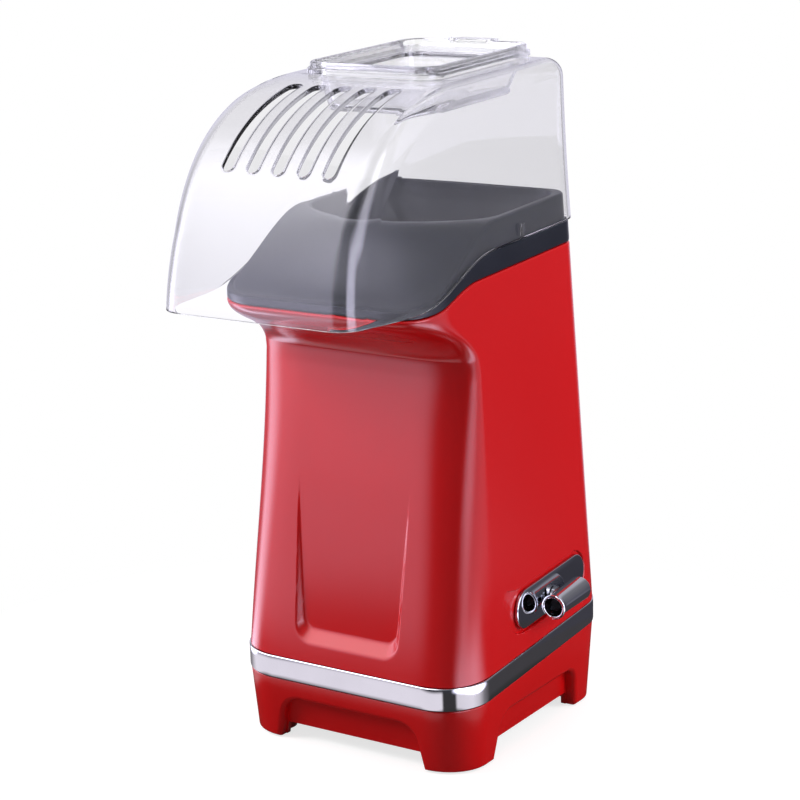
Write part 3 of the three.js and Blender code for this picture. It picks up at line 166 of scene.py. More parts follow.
def band_plan(inset):
    """Plan of the band, drawn in by inset all round."""
    return plain_plan(BAND_HALF, -BAND_DEPTH, BAND_DEPTH, BAND_CORNER - inset, inset)


def base_plan(z, inset=0.0):
    """Plan of the base at height z: the band's outline drawn in, and more towards the floor."""
    return band_plan(FOOT_INSET + 2.7 * np.maximum((BAND_FLOOR - z) / BAND_FLOOR, 0) + inset)


def cup_plan(inset, shelf):
    """Plan of the cup, drawn in by inset from its rim's edge, and by shelf more at its back."""
    corner = max(CUP_CORNER - inset * 0.4, 1)
    return plain_plan(CUP_HALF, CUP_FRONT, CUP_BACK - shelf, corner, inset)


def flared(z):
    """How far the lip has flared at height z: an S curve whose lower half is a wider hollow.

    With t from 0 to 1 up the flare, it is 9/8 of the square of t + 1/6 below the middle, and
    3 t squared less 2 t cubed above."""
    t = np.clip((z - LIP_LOW) / FLARE_HEIGHT + 1, -1 / 6, 1)
    return np.where(t < 0.5, 9 / 8 * (t + 1 / 6) ** 2, smooth(t, 0, 1))


def column(z, inset=0.0):
    """Plan of the column at height z: a straight taper, and a lip that flares forward on top."""
    rise = (z - BAND_TOP) / COLUMN_HEIGHT
    flare = flared(z - inset)
    half = lerp(BAND_HALF - FOOT_INSET, HEAD_HALF, rise)
    front = lerp(FOOT_INSET - BAND_DEPTH, HEAD_FRONT, rise)
    return dict(
        half=half - inset,
        front=lerp(front, LIP_FRONT, flare) + inset,
        back=lerp(BAND_DEPTH - FOOT_INSET, HEAD_BACK, rise) - inset,
        front_corner=np.maximum(lerp(half - FACE_HALF, LIP_CORNER, flare) - inset, 1),
        front_depth=np.maximum(lerp(SIDE_START - front, LIP_CORNER, flare) - inset, 1),
        power=lerp(lerp(3.0, 2.0, smooth(rise, 0, 0.75)), 2.0, flare),
        back_corner=np.maximum(lerp(BAND_CORNER - FOOT_INSET, HEAD_CORNER, rise) - inset, 1),
    )


def shell_edge(y):
    """Top edge of the shell: level behind, falling in an S to the lip."""
    return SHOULDER - LIP_DROP * smooth(-y, 36, -LIP_FRONT - 4)


def seat_edge(y):
    """The ledge that the hood sits on, which falls in an S to the lip."""
    return SEAT - (SEAT - LIP_TOP) * smooth(-y, 22, -LIP_FRONT - 2)


def hood_edge(y):
    """Lower edge of the hood: the ledge, rising in an S by 1.5 in front of the lip."""
    return seat_edge(y) + GAP + 1.5 * smooth(-y, -LIP_FRONT, -HOOD_FRONT)


def bowl_front(x):
    """Front edge of the bowl, which falls back towards its sides as x squared."""
    return BOWL_FRONT + BOWL_CURVE * x * x


def chute(x, y):
    """Top of the collar: a level rim, falling in an S from the bowl's front edge to the lip."""
    start = bowl_front(x) - RIM_WIDTH
    return RIM_TOP - (RIM_TOP - LIP_TOP) * smooth(start - y, 0, start - LIP_FRONT - 2)


# ---- From the maker's own frame to the part's frame ----

band_low, band_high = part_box("chrome_band")
cos_lean, sin_lean = math.cos(LEAN), math.sin(LEAN)
OFFSET = np.array((
    (band_low.x + band_high.x) * 500,
    band_high.y * 1000 - (cos_lean * BAND_DEPTH - sin_lean * BAND_FLOOR),
    band_low.z * 1000 - (cos_lean * BAND_FLOOR - sin_lean * BAND_DEPTH),
))


def placed(points, level=False):
    """Points in metres in the part's frame. Those of the upright frame lean forward first."""
    x, y, z = np.moveaxis(np.asarray(points, float), -1, 0)
    if not level:
        y, z = cos_lean * y - sin_lean * z, sin_lean * y + cos_lean * z
    return (points_at(x, y, z) + OFFSET) / 1000


# ---- Meshes ----

SMOOTH_BELOW = math.radians(38)  # edges sharper than this stay sharp


def sheet_faces(rows, columns, wrap_rows):
    """Faces of a grid whose rows are closed rings; wrap_rows joins the last ring to the first."""
    index = np.arange(rows * columns).reshape(rows, columns)
    above = np.roll(index, -1, 0) if wrap_rows else index[1:]
    here = index if wrap_rows else index[:-1]
    grid = (here, np.roll(here, -1, 1), np.roll(above, -1, 1), above)
    return np.stack(grid, -1).reshape(-1, 4)


def linked(name, data):
    """An object of this data, in the scene."""
    obj = bpy.data.objects.new(name, data)
    bpy.context.scene.collection.objects.link(obj)
    return obj


def solid(name, points, faces, **values):
    """A closed object of these points and faces. Each of values is one number per point."""
    mesh = bpy.data.meshes.new(name)
    mesh.from_pydata(points.reshape(-1, 3).tolist(), [], faces)
    for key, numbers in values.items():
        mesh.attributes.new(key, "FLOAT", "POINT").data.foreach_set("value", numbers)
    obj = linked(name, mesh)
    tidy(obj)
    return obj


def mesh_of(name, points, level=False, wrap_rows=True):
    """An object made of rings, one per row of points. Open ends are closed by one face each."""
    rows, columns = points.shape[:2]
    faces = sheet_faces(rows, columns, wrap_rows).tolist()
    if not wrap_rows:
        faces += [list(range(columns))[::-1], list(range((rows - 1) * columns, rows * columns))]
    return solid(name, placed(points, level), faces)


def tidy(obj):
    """Joins points closer than 2 micrometres, drops faces without area and faces the rest out."""
    bm = bmesh.new()
    bm.from_mesh(obj.data)
    bmesh.ops.remove_doubles(bm, verts=bm.verts, dist=2e-6)
    bmesh.ops.dissolve_degenerate(bm, edges=bm.edges, dist=1e-7)
    bmesh.ops.recalc_face_normals(bm, faces=bm.faces)
    if bm.calc_volume(signed=True) < 0:
        bmesh.ops.reverse_faces(bm, faces=bm.faces)
    bm.to_mesh(obj.data)
    bm.free()
    obj.data.shade_smooth()
    obj.data.set_sharp_from_angle(angle=SMOOTH_BELOW)


def turned(profile, axis, along, segments=96):
    """Rings of a (radius, distance) profile turned about the line from axis along a direction."""
    profile = np.asarray(profile, float)
    side = np.cross(along, (0.0, 0.0, 1.0) if abs(along[2]) < 0.9 else (0.0, 1.0, 0.0))
    up = np.cross(along, side)
    angle = np.linspace(0, 2 * np.pi, segments, endpoint=False)
    circle = np.cos(angle)[:, None] * side + np.sin(angle)[:, None] * up
    return np.asarray(axis, float) + profile[:, None, 1:] * along + profile[:, None, :1] * circle


def arc(centre, radius, start, end, steps=5):
    """Points of an arc in a plane, angles in degrees."""
    angle = np.radians(np.linspace(start, end, steps + 1))
    return points_at(centre[0] + radius * np.cos(angle), centre[1] + radius * np.sin(angle))


def rounded(corners, steps=8):
    """A closed outline through corner points (x, y, radius), each rounded by its radius."""
    corners = np.asarray(corners, float)
    out = []
    for before, here, after in zip(np.roll(corners, 1, 0), corners, np.roll(corners, -1, 0)):
        point, radius = here[:2], here[2]
        back, ahead = ((p[:2] - point) / np.linalg.norm(p[:2] - point) for p in (before, after))
        half_angle = math.acos(np.clip(back @ ahead, -1, 1)) / 2
        bisector = (back + ahead) / np.linalg.norm(back + ahead)
        centre = point + bisector * radius / math.sin(half_angle)
        reach = radius / math.tan(half_angle)
        a, b = (math.atan2(p[1], p[0]) for p in (point + v * reach - centre for v in (back, ahead)))
        b = a + (b - a + math.pi) % (2 * math.pi) - math.pi
        out.append(arc(centre, radius, math.degrees(a), math.degrees(b), steps))
    return np.concatenate(out)


def grown(outline, amount):
    """A closed anticlockwise outline moved outwards along its own normals."""
    ahead = np.roll(outline, -1, 0) - np.roll(outline, 1, 0)
    normal = points_at(ahead[:, 1], -ahead[:, 0])
    length = np.maximum(np.linalg.norm(normal, axis=1, keepdims=True), 1e-9)
    return outline + amount * normal / length


def spaced(outline, most):
    """An outline whose long edges are split into parts no longer than most."""
    out = []
    for here, after in zip(outline, np.roll(outline, -1, 0)):
        count = max(1, math.ceil(np.linalg.norm(after - here) / most))
        out.append(lerp(here, after, (np.arange(count) / count)[:, None]))
    return np.concatenate(out)


def cut(obj, tools, join=False):
    """Takes each tool's solid out of obj, or joins it on, and removes the tool."""
    for tool in tools:
        change = obj.modifiers.new("change", "BOOLEAN")
        change.operation = "UNION" if join else "DIFFERENCE"
        change.solver = "EXACT"
        change.object = tool
        graph = bpy.context.evaluated_depsgraph_get()
        old, obj.data = obj.data, bpy.data.meshes.new_from_object(obj.evaluated_get(graph))
        obj.modifiers.clear()
        bpy.data.meshes.remove(old)
        bpy.data.objects.remove(tool)
    obj.data.name = obj.name
    tidy(obj)
    obj.modifiers.new("even_shading", "WEIGHTED_NORMAL").keep_sharp = True


# ---- Finishes ----


class Layout:
    """A tree of nodes, laid out by a few short calls."""

    def __init__(self, tree):
        self.nodes, self.links = tree.nodes, tree.links

    def put(self, socket, value):
        """Gives a socket its value: a plain one, or another node's output."""
        if isinstance(value, bpy.types.NodeSocket):
            self.links.new(value, socket)
        else:
            socket.default_value = value

    def add(self, kind, inputs=None, **settings):
        """A node with its settings, and with its inputs by name or place."""
        node = self.nodes.new("ShaderNode" + kind)
        for key, value in settings.items():
            setattr(node, key, value)
        for key, value in (inputs or {}).items():
            self.put(node.inputs[key], value)
        return node

    def maths(self, operation, *values):
        """One step of arithmetic on sockets and plain numbers."""
        return self.add("Math", dict(enumerate(values)), operation=operation).outputs[0]

    def spread(self, value, low, high, start=0.3, end=0.7):
        """Carries start to end over to low to high, and holds it there beyond."""
        return self.add("MapRange", {"Value": value, "From Min": start, "From Max": end,
                                     "To Min": low, "To Max": high}).outputs["Result"]

    def colours(self, value, stops):
        """The colour at a value, between stops of (value, colour)."""
        node = self.add("ValToRGB", {"Fac": value})
        elements = node.color_ramp.elements
        elements.remove(elements[1])
        for index, (at, colour) in enumerate(stops):
            element = elements.new(at) if index else elements[0]
            element.position, element.color = at, (*colour, 1)
        return node.outputs["Color"]

    def mixed(self, share, first, second):
        """The first shader turning into the second as share goes from 0 to 1."""
        return self.add("MixShader", {0: share, 1: first, 2: second}).outputs[0]

    def faded(self, share, first, second):
        """The first colour turning into the second as share goes from 0 to 1."""
        return self.add("Mix", {0: share, 6: first, 7: second}, data_type="RGBA").outputs[2]


class Finish(Layout):
    """A material on its piece's own coordinates."""

    def __init__(self, name, **sockets):
        self.material = bpy.data.materials.new(name)
        self.material.use_nodes = True
        super().__init__(self.material.node_tree)
        self.shader = self.nodes["Principled BSDF"]
        self.place = self.add("TexCoord").outputs["Object"]
        self.set(**sockets)

    def set(self, **sockets):
        """Gives the shader's sockets their values."""
        for socket, value in sockets.items():
            self.put(self.shader.inputs[socket.replace("_", " ")], value)

    def noise(self, scale, detail=2.0, roughness=0.5, stretch=None):
        """Soft noise, on coordinates stretched along the axes if need be."""
        place = self.place
        if stretch:
            place = self.add("Mapping", {"Vector": place, "Scale": stretch}).outputs["Vector"]
        return self.add("TexNoise", {"Scale": scale, "Detail": detail, "Roughness": roughness,
                                     "Vector": place}).outputs["Fac"]

    def bump(self, value, strength, distance):
        """Raises the surface by the value."""
        self.set(Normal=self.add("Bump", {"Strength": strength, "Distance": distance,
                                          "Height": value}).outputs["Normal"])

    def shown_by(self, shader):
        """Makes this shader the material's surface."""
        self.put(self.nodes["Material Output"].inputs["Surface"], shader)


def srgb(*values):
    """A colour as it looks on screen, 0 to 255, in the linear values that a shader takes."""
    v = np.array(values, float) / 255
    return tuple(np.where(v <= 0.04045, v / 12.92, ((v + 0.055) / 1.055) ** 2.4))


def patterned(name, stops, shade, polish, sheen, grain, relief, **sockets):
    """A finish whose shade, polish and relief each follow a noise of their own.

    A noise is its scale, detail, roughness and stretch. Sheen is the least and the most
    roughness, and relief is the bump's strength and distance."""
    made = Finish(name, **sockets)
    made.set(Base_Color=made.colours(made.noise(*shade), stops),
             Roughness=made.spread(made.noise(*polish), *sheen))
    made.bump(made.noise(*grain), *relief)
    return made.material


def moulded(name, colour, deeper, roughness, grain, depth=2e-5, coat=0.0):
    """Moulded plastic: slow changes of shade, patchy polish and a fine moulded grain."""
    return patterned(
        name, ((0.25, srgb(*deeper)), (0.75, srgb(*colour))), (9.0, 3.0, 0.55), (45.0, 4.0, 0.6),
        (roughness * 0.85, roughness * 1.2), (grain,), (0.35, depth),
        IOR=1.5, Coat_Weight=coat, Coat_Roughness=0.03)


def clear_moulding(name, tint, bending, sheer=0.0):
    """Clear plastic that lamps shine through, with the slight waviness of a moulded wall.

    sheer is the share of the light that passes straight on, which softens thin walls' lines.
    Where a piece's rim value is 1, as in the slots, the base colour turns grey: painted shade that
    stands in for the dim look of the slot walls."""
    made = Finish(name, IOR=bending, Transmission_Weight=1.0, Roughness=0.0)
    rim = made.add("Attribute", attribute_name="rim").outputs["Fac"]
    # painted shade: the slot walls (rim value 1) get a grey base colour for their dim look
    made.set(Base_Color=made.colours(rim, ((0, tint), (1, (0.68, 0.68, 0.71)))))
    made.bump(made.noise(22.0), 0.05, 3e-4)
    through = made.add("BsdfTransparent", {"Color": (0.94, 0.942, 0.95, 1)}).outputs[0]
    share = made.maths("MAXIMUM", made.add("LightPath").outputs["Is Shadow Ray"], sheer)
    made.shown_by(made.mixed(share, made.shader.outputs[0], through))
    return made.material


def metal(name, colour, roughness, brush=None, depth=1e-5, marks=0.0):
    """Metal with patchy polish, and fine lines along whichever way it was brushed or drawn."""
    bright = srgb(*colour)
    return patterned(
        name, ((0.3, tuple(c * (1 - 0.08 - marks) for c in bright)), (0.65, bright)),
        (30.0, 4.0, 0.6), (60.0, 5.0, 0.65), (roughness * 0.7, roughness * 1.5),
        (400.0, 3.0, 0.6, brush), (0.25, depth), Metallic=1.0)


def mica():
    """Pressed mica: flakes in tan and grey, with a dull sheen."""
    made = Finish("mica_board")
    flakes = made.add("TexVoronoi", {"Scale": 500, "Vector": made.place}).outputs["Distance"]
    stops = ((0.1, srgb(150, 134, 104)), (0.5, srgb(190, 174, 140)), (0.9, srgb(208, 196, 168)))
    made.set(Base_Color=made.colours(flakes, stops),
             Roughness=made.spread(made.noise(200.0), 0.4, 0.7))
    made.bump(flakes, 0.3, 5e-5)
    return made.material


finishes = {
    # a soft shine, a faint flow of the mould and a slight orange peel
    "red_plastic": patterned(
        "red_gloss", ((0.3, srgb(197, 10, 14)), (0.7, srgb(205, 13, 17))),
        (4.0, 2.0, 0.5, (1, 1, 0.35)), (60.0, 3.0, 0.6), (0.2, 0.23), (160.0, 2.0, 0.45),
        (0.06, 3e-5), IOR=1.5, Coat_Weight=0.12, Coat_Roughness=0.12, Coat_IOR=1.5),
    # after use: grey, with straw and violet heat tints
    "heater_wire": patterned(
        "heater_wire",
        ((0.3, srgb(92, 86, 84)), (0.5, srgb(126, 104, 82)), (0.7, srgb(84, 78, 98))),
        (60.0, 3.0, 0.6), (120.0,), (0.35, 0.6), (900.0,), (0.3, 4e-5), Metallic=0.9),
    "mica_board": mica(),
    "clear_plastic": clear_moulding("clear_moulding", (0.935, 0.93, 0.95), 1.49),
}
clear_cup = clear_moulding("clear_cup", (0.99, 0.99, 0.99), 1.46, 0.08)
for slot, *row in (
    ("charcoal_plastic", "charcoal_satin", (26, 29, 40), (24, 26, 33), 0.34, 1400),
    ("black_plastic", "black_nylon", (30, 31, 33), (22, 23, 25), 0.5, 1100, 4e-5),
    ("white_plastic", "white_nylon", (224, 221, 212), (210, 206, 196), 0.45, 1000),
    ("black_rubber", "black_rubber", (27, 27, 28), (20, 20, 21), 0.8, 700, 8e-5),
    ("red_silicone", "red_silicone", (182, 72, 60), (164, 60, 50), 0.6, 600, 4e-5),
    ("circuit_board", "circuit_board", (44, 98, 58), (34, 80, 48), 0.4, 1500, 2e-5, 0.5),
    ("wire_white", "white_wire", (226, 224, 218), (212, 210, 204), 0.4, 1300),
    ("wire_red", "red_wire", (176, 34, 34), (156, 26, 28), 0.4, 1300),
    ("wire_blue", "blue_wire", (40, 70, 168), (30, 58, 148), 0.4, 1300),
):
    finishes[slot] = moulded(*row)
for slot, *row in (
    ("chrome_trim", "chrome_plate", (222, 224, 228), 0.055, (1, 1, 14), 4e-6),
    ("mirror_plate", "mirror_steel", (196, 198, 204), 0.04, None, 3e-6),
    ("aluminium_sheet", "spun_aluminium", (200, 201, 204), 0.28, (1, 1, 20), 2e-5, 0.04),
    ("steel", "plated_steel", (168, 170, 174), 0.34, None, 2e-5, 0.1),
):
    finishes[slot] = metal(*row)


def dress(obj, body, nodes, slot):
    """Gives a piece its finish, hides the CAD nodes that it stands for, and sets the body that it
    rides on.
    """
    obj.data.materials.clear()
    obj.data.materials.append(finishes[slot])
    if nodes:
        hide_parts(*nodes)
    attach(obj, body)
    return obj


# ---- Column shell ----

PANEL_FOOT = BAND_TOP + 8
PANEL_HEAD = PANEL_FOOT + 75
POCKET_DEPTH = 1.2
PLATE_MIDDLE = BAND_TOP + 18.8
POCKET_FACE = float(column(np.float64(PLATE_MIDDLE))["half"])
POCKET_FLOOR = POCKET_FACE - POCKET_DEPTH
PLATE_FACE = POCKET_FLOOR + GAP + 1.6
PAD_FACE = POCKET_FLOOR - WALL - GAP  # inner face of the wall behind the switch
SPINDLE = (13.0, BAND_TOP + 16.3)
# The pocket round the plate, as y, z and radius, and its sides as (out, grow).
POCKET = ((45.4, 54.0, 10.4), (45.4, 74.8, 10.4), (-18.5, 74.8, 16.0), (-32.3, 78.4, 3.6),
          (-25.8, 54.0, 17.0))
POCKET_SIDES = ((8, 0.6), (0.5, 0.6), (0.0, 0.45), (-0.25, 0.16), (-0.55, 0.0),
                (-POCKET_DEPTH, 0.0))


def box_distance(x, z, half, low, radius):
    """Distance from a shape open at the top, with a flat foot and two rounded lower corners."""
    across, down = np.abs(x) - (half - radius), (low + radius) - z
    outside = np.hypot(np.maximum(across, 0), np.maximum(down, 0))
    return outside + np.minimum(np.maximum(across, down), 0) - radius


def panel_depth(x, z):
    """Depth of the pressed front panel: full at its foot, fading in a straight line to its head."""
    rise = np.clip((z - PANEL_FOOT) / (PANEL_HEAD - PANEL_FOOT), 0, 1)
    outer = box_distance(x, z, 26 + 2 * rise, PANEL_FOOT, 8)
    inner = box_distance(x, z, 22.6 + 5.3 * rise, PANEL_FOOT + 6.1, 5.5)
    share = np.clip(-outer / np.maximum(inner - outer, 1e-6), 0, 1)
    return np.where(z < PANEL_HEAD, 4 * (1 - rise) ** 1.35 * soft_ramp(share), 0)


def column_grid(heights, weights, inset, top_edge, width):
    """Rings up the column, whose upper ones rise to a top edge that depends on y alone.

    The pressed panel is width times as wide as it is on the outside."""
    split = LIP_LOW - FLARE_HEIGHT
    heights = np.asarray(heights)[:, None]
    top = np.full((1, len(weights)), SHOULDER)
    for _ in range(12):
        top = top_edge(loop_of(column(top, inset), weights)[1])
    share = np.clip((heights - split) / (SHOULDER - split), 0, 1)
    z = np.where(heights > split, lerp(split, top, share), heights) + 0 * top
    x, y = loop_of(column(z, inset), weights)
    face = (np.abs(x) < FACE_HALF + 0.01) & (y < 0)
    return x, y + np.where(face, panel_depth(x / width, z), 0), z


def column_shell():
    """The red shell: outer wall, rounded top edge, inner wall, and the pressed panel in front."""
    edge = np.linspace(0, 9, 19)
    face = np.concatenate((edge, np.linspace(11, 45, 14), 56 - edge[::-1])) / 56
    weights = ring_weights(24, even(24), even(18), even(24), face[1:-1])
    split = LIP_LOW - FLARE_HEIGHT
    low = BAND_TOP + GAP
    heights = np.concatenate((
        [low, low + 3], np.arange(PANEL_FOOT - 2, PANEL_FOOT + 10, 0.6),
        np.linspace(PANEL_FOOT + 12, PANEL_HEAD + 4, 34), np.linspace(PANEL_HEAD + 8, split, 12),
        np.linspace(split, SHOULDER, 40)[1:]))
    edge_round = 0.9
    x, y, z = column_grid(heights, weights, 0, lambda y: shell_edge(y) - edge_round, 1)
    rows = [points_at(x, y, z)]
    for inset, drop in roll(edge_round):
        height = shell_edge(y[-1:]) - drop
        rows.append(points_at(*loop_of(column(height, inset), weights), height))
    heights = np.concatenate((
        np.linspace(SHOULDER, split, 16), np.linspace(170, PANEL_HEAD, 5),
        np.linspace(PANEL_HEAD - 6, PANEL_FOOT + 8, 8),
        np.arange(PANEL_FOOT + 6, PANEL_FOOT - 4, -1.5), [low]))
    x, y, z = column_grid(heights, weights, WALL, shell_edge, 1 / 0.94)
    from_pad = np.hypot(np.maximum(np.abs(y - 6) - 28, 0), z - PLATE_MIDDLE - 1)
    flat = np.minimum(x, lerp(PAD_FACE, x, smooth(from_pad, 13, 20)))
    rows.append(points_at(np.where((x > 30) & (np.abs(y) < 60), flat, x), y, z))
    shell = mesh_of("column_shell", np.concatenate(rows))
    outline = spaced(rounded(POCKET, 10), 6)
    loops = []
    for out, grow in POCKET_SIDES:
        y, z = grown(outline, grow).T
        surface = column(z)["half"] if out > -POCKET_DEPTH else POCKET_FACE
        loops.append(points_at(surface + out, y, z))
    pocket = mesh_of("pocket_tool", np.array(loops), wrap_rows=False)
    hole = turned([(5.3, 0), (5.3, 30)], (POCKET_FLOOR - 15, *SPINDLE), (1, 0, 0), 48)
    cut(shell, [pocket, mesh_of("hole_tool", hole, wrap_rows=False)])
    return dress(shell, "housing", ["body_shell"], "red_plastic")


# ---- Band ----


def chrome_band():
    """The plated band: a flat outer face with rolled edges."""
    edge, back = 0.5, 0.4
    profile = np.concatenate((
        arc((WALL - back, BAND_FLOOR + back), back, 0, -90, 2),
        arc((edge, BAND_FLOOR + edge), edge, -90, -180),
        arc((edge, BAND_TOP - edge), edge, 180, 90),
        arc((WALL - back, BAND_TOP - back), back, 90, 0, 2)))
    weights = ring_weights(24, even(6), even(6), even(6), even(6))
    points = points_at(*loop_of(band_plan(profile[:, :1]), weights), profile[:, 1:])
    return dress(mesh_of("band", points), "housing", ["chrome_band"], "chrome_trim")


# ---- Base ----

ARCH_HEIGHT, ARCH_DEPTH, APRON_FLOOR = 20.5, 4.6, 7.0
LEG_FLOOR, LEG_WALL, SPIGOT_WALL, SPIGOT_HEIGHT = 0.8, 7.0, 5.1, 6
PAD_X, PAD_Y, BOSS_RADIUS, SOCKET_RADIUS, GLAND_X, GLAND_RADIUS = 45.4, 53.7, 7.6, 6.3, -18, 4.9
# How an arch's recess goes in, as (depth, grow): its edge is rounded.
RECESS = ((-6, 2.2), (-0.02, 2.2), (0.08, 1.68), (0.3, 1.1), (0.75, 0.5), (1.35, 0.12), (2.0, 0),
          (ARCH_DEPTH, 0))


def gate(half, head, splay, radius, head_radius, steps, most):
    """A cutter's outline as (along, up): wider at the floor by splay, with rounded corners."""
    corners = [(side * (half + out), up, r) for side, out, up, r in (
        (-1, splay[0], -6, radius), (1, splay[0], -6, radius),
        (1, splay[1], head, head_radius), (-1, splay[1], head, head_radius))]
    return spaced(rounded(corners, steps), most)


def arch_tool(name, turn, outline, depths):
    """A cutter for one side of the base: the outline carried in, and grown, by each (depth, grow).

    Turn counts from the front by way of the right side. Depth is measured in from the base's
    tapered face, so the recess lies parallel to it."""
    side = 1 if turn in (1, 2) else -1
    crosswise = turn in (0, 2)
    loops = []
    for depth, grow in depths:
        along, up = grown(outline, grow).T
        face = BAND_DEPTH if crosswise else BAND_HALF
        for _ in range(4):
            z = cos_lean * up - sin_lean * (side * face if crosswise else along)
            plan = base_plan(z)
            behind = np.abs(cos_lean * side * plan["back"] - sin_lean * z)
            face = behind if crosswise else plan["half"]
        out = side * (face - depth)
        loops.append(points_at(-side * along, out, up) if crosswise
                     else points_at(out, side * along, up))
    return mesh_of(name, np.array(loops), level=True, wrap_rows=False)


def base():
    """The red base: tapered face, legs with rounded ends, arches, and a ring up into the column."""
    weights = ring_weights(20, even(12), even(10), even(12), even(10))

    def ring(inset, up=20.0, level=None, plan=base_plan):
        """A ring of the base, at an upright height or cut off level."""
        z = np.full((1, len(weights)), up)
        x, y = loop_of(plan(z, inset), weights)
        for _ in range(0 if level is None else 5):
            z = (level - sin_lean * y) / cos_lean
            x, y = loop_of(plan(z, inset), weights)
        return points_at(x, y, z)

    spigot = lambda inset, up: ring(
        inset, up, plan=lambda z, inset: column(np.maximum(z, BAND_TOP), inset))
    top, hollow, head = BAND_FLOOR - GAP, ARCH_HEIGHT + WALL, BAND_TOP + SPIGOT_HEIGHT
    rows = [ring(1.0, level=LEG_FLOOR)]
    rows += [ring(drop, level=LEG_FLOOR + back) for back, drop in roll(1, FINE)]
    rows += [ring(0, level=v) for v in (6, 12, 18, 24)]
    rows += [ring(0, top - 0.6), ring(0.25, top - 0.15), ring(0.6, top), ring(2.7, top)]
    rows += [spigot(2.7, BAND_TOP), spigot(2.7, head - 0.4), spigot(3.1, head),
             spigot(SPIGOT_WALL, head), spigot(SPIGOT_WALL, BAND_TOP)]
    rows += [ring(SPIGOT_WALL, BAND_FLOOR - 4), ring(WALL, BAND_FLOOR - 4),
             ring(WALL, level=hollow), ring(LEG_WALL, level=hollow), ring(LEG_WALL, level=12),
             ring(LEG_WALL, level=LEG_FLOOR)]
    made = mesh_of("base", np.concatenate(rows))

    def peg(name, radius, start, along, length, segments=48):
        """A level round cutter."""
        points = turned([(radius, 0), (radius, length)], start, along, segments)
        return mesh_of(name, points, level=True, wrap_rows=False)

    pads = [(x * PAD_X, y * PAD_Y) for x, y in ((-1, -1), (1, -1), (-1, 1), (1, 1))]
    up = (0, 0, 1)
    bosses = [peg("boss_tool", BOSS_RADIUS, (*pad, LEG_FLOOR), up, 7 - LEG_FLOOR) for pad in pads]
    cut(made, bosses, join=True)
    tools = []
    for turn, half in enumerate((32.5, 35.0, 32.5, 35.0)):
        arch = gate(half, ARCH_HEIGHT, (5.5, 0), 0.5, 9.0, 12, 6)
        tools.append(arch_tool(f"arch_tool_{turn}", turn, arch, RECESS))
        low = gate(half, APRON_FLOOR, (5.0, 2.2), 0.5, 0.6, 3, 8)
        tools.append(arch_tool(f"gap_tool_{turn}", turn, low, ((-6, 0), (16, 0))))
    tools += [peg("socket_tool", SOCKET_RADIUS, (*pad, -1), up, 4.7) for pad in pads]
    rise = (APRON_FLOOR + ARCH_HEIGHT) / 2 + 0.4
    tools.append(peg("gland_tool", GLAND_RADIUS, (GLAND_X, 40, rise), (0, 1, 0), 50, 40))
    cut(made, tools)
    return dress(made, "housing", ["base_skirt"], "red_plastic")


# ---- Chute collar ----


def bowl_side(share):
    """The bowl's front edge and side as one curve, whose corner is rounded by a quadratic one.

    It starts at the middle of the front at share 0, and ends at the rear corner at share 1."""
    radius, corner = 9.0, np.array((BOWL_HALF, bowl_front(BOWL_HALF)))
    xs = np.linspace(0, BOWL_HALF, 200)
    edge = points_at(xs, bowl_front(xs))[xs < BOWL_HALF - radius]
    ys = np.linspace(corner[1], BOWL_BACK - BOWL_CORNER, 100)
    ys = ys[ys > corner[1] + radius]
    s = np.linspace(0, 1, 40)[:, None]
    end = corner + (0, radius)
    bend = (1 - s) ** 2 * edge[-1] + 2 * s * (1 - s) * corner + s**2 * end
    path = np.concatenate((edge, bend[1:-1], points_at(BOWL_HALF, ys)))
    along = lengths(path)
    return points_at(*(np.interp(share * along[-1], along, values) for values in path.T))


def lengths(path):
    """The length along a path at each of its points."""
    return np.concatenate(([0], np.cumsum(np.linalg.norm(np.diff(path, axis=0), axis=1))))


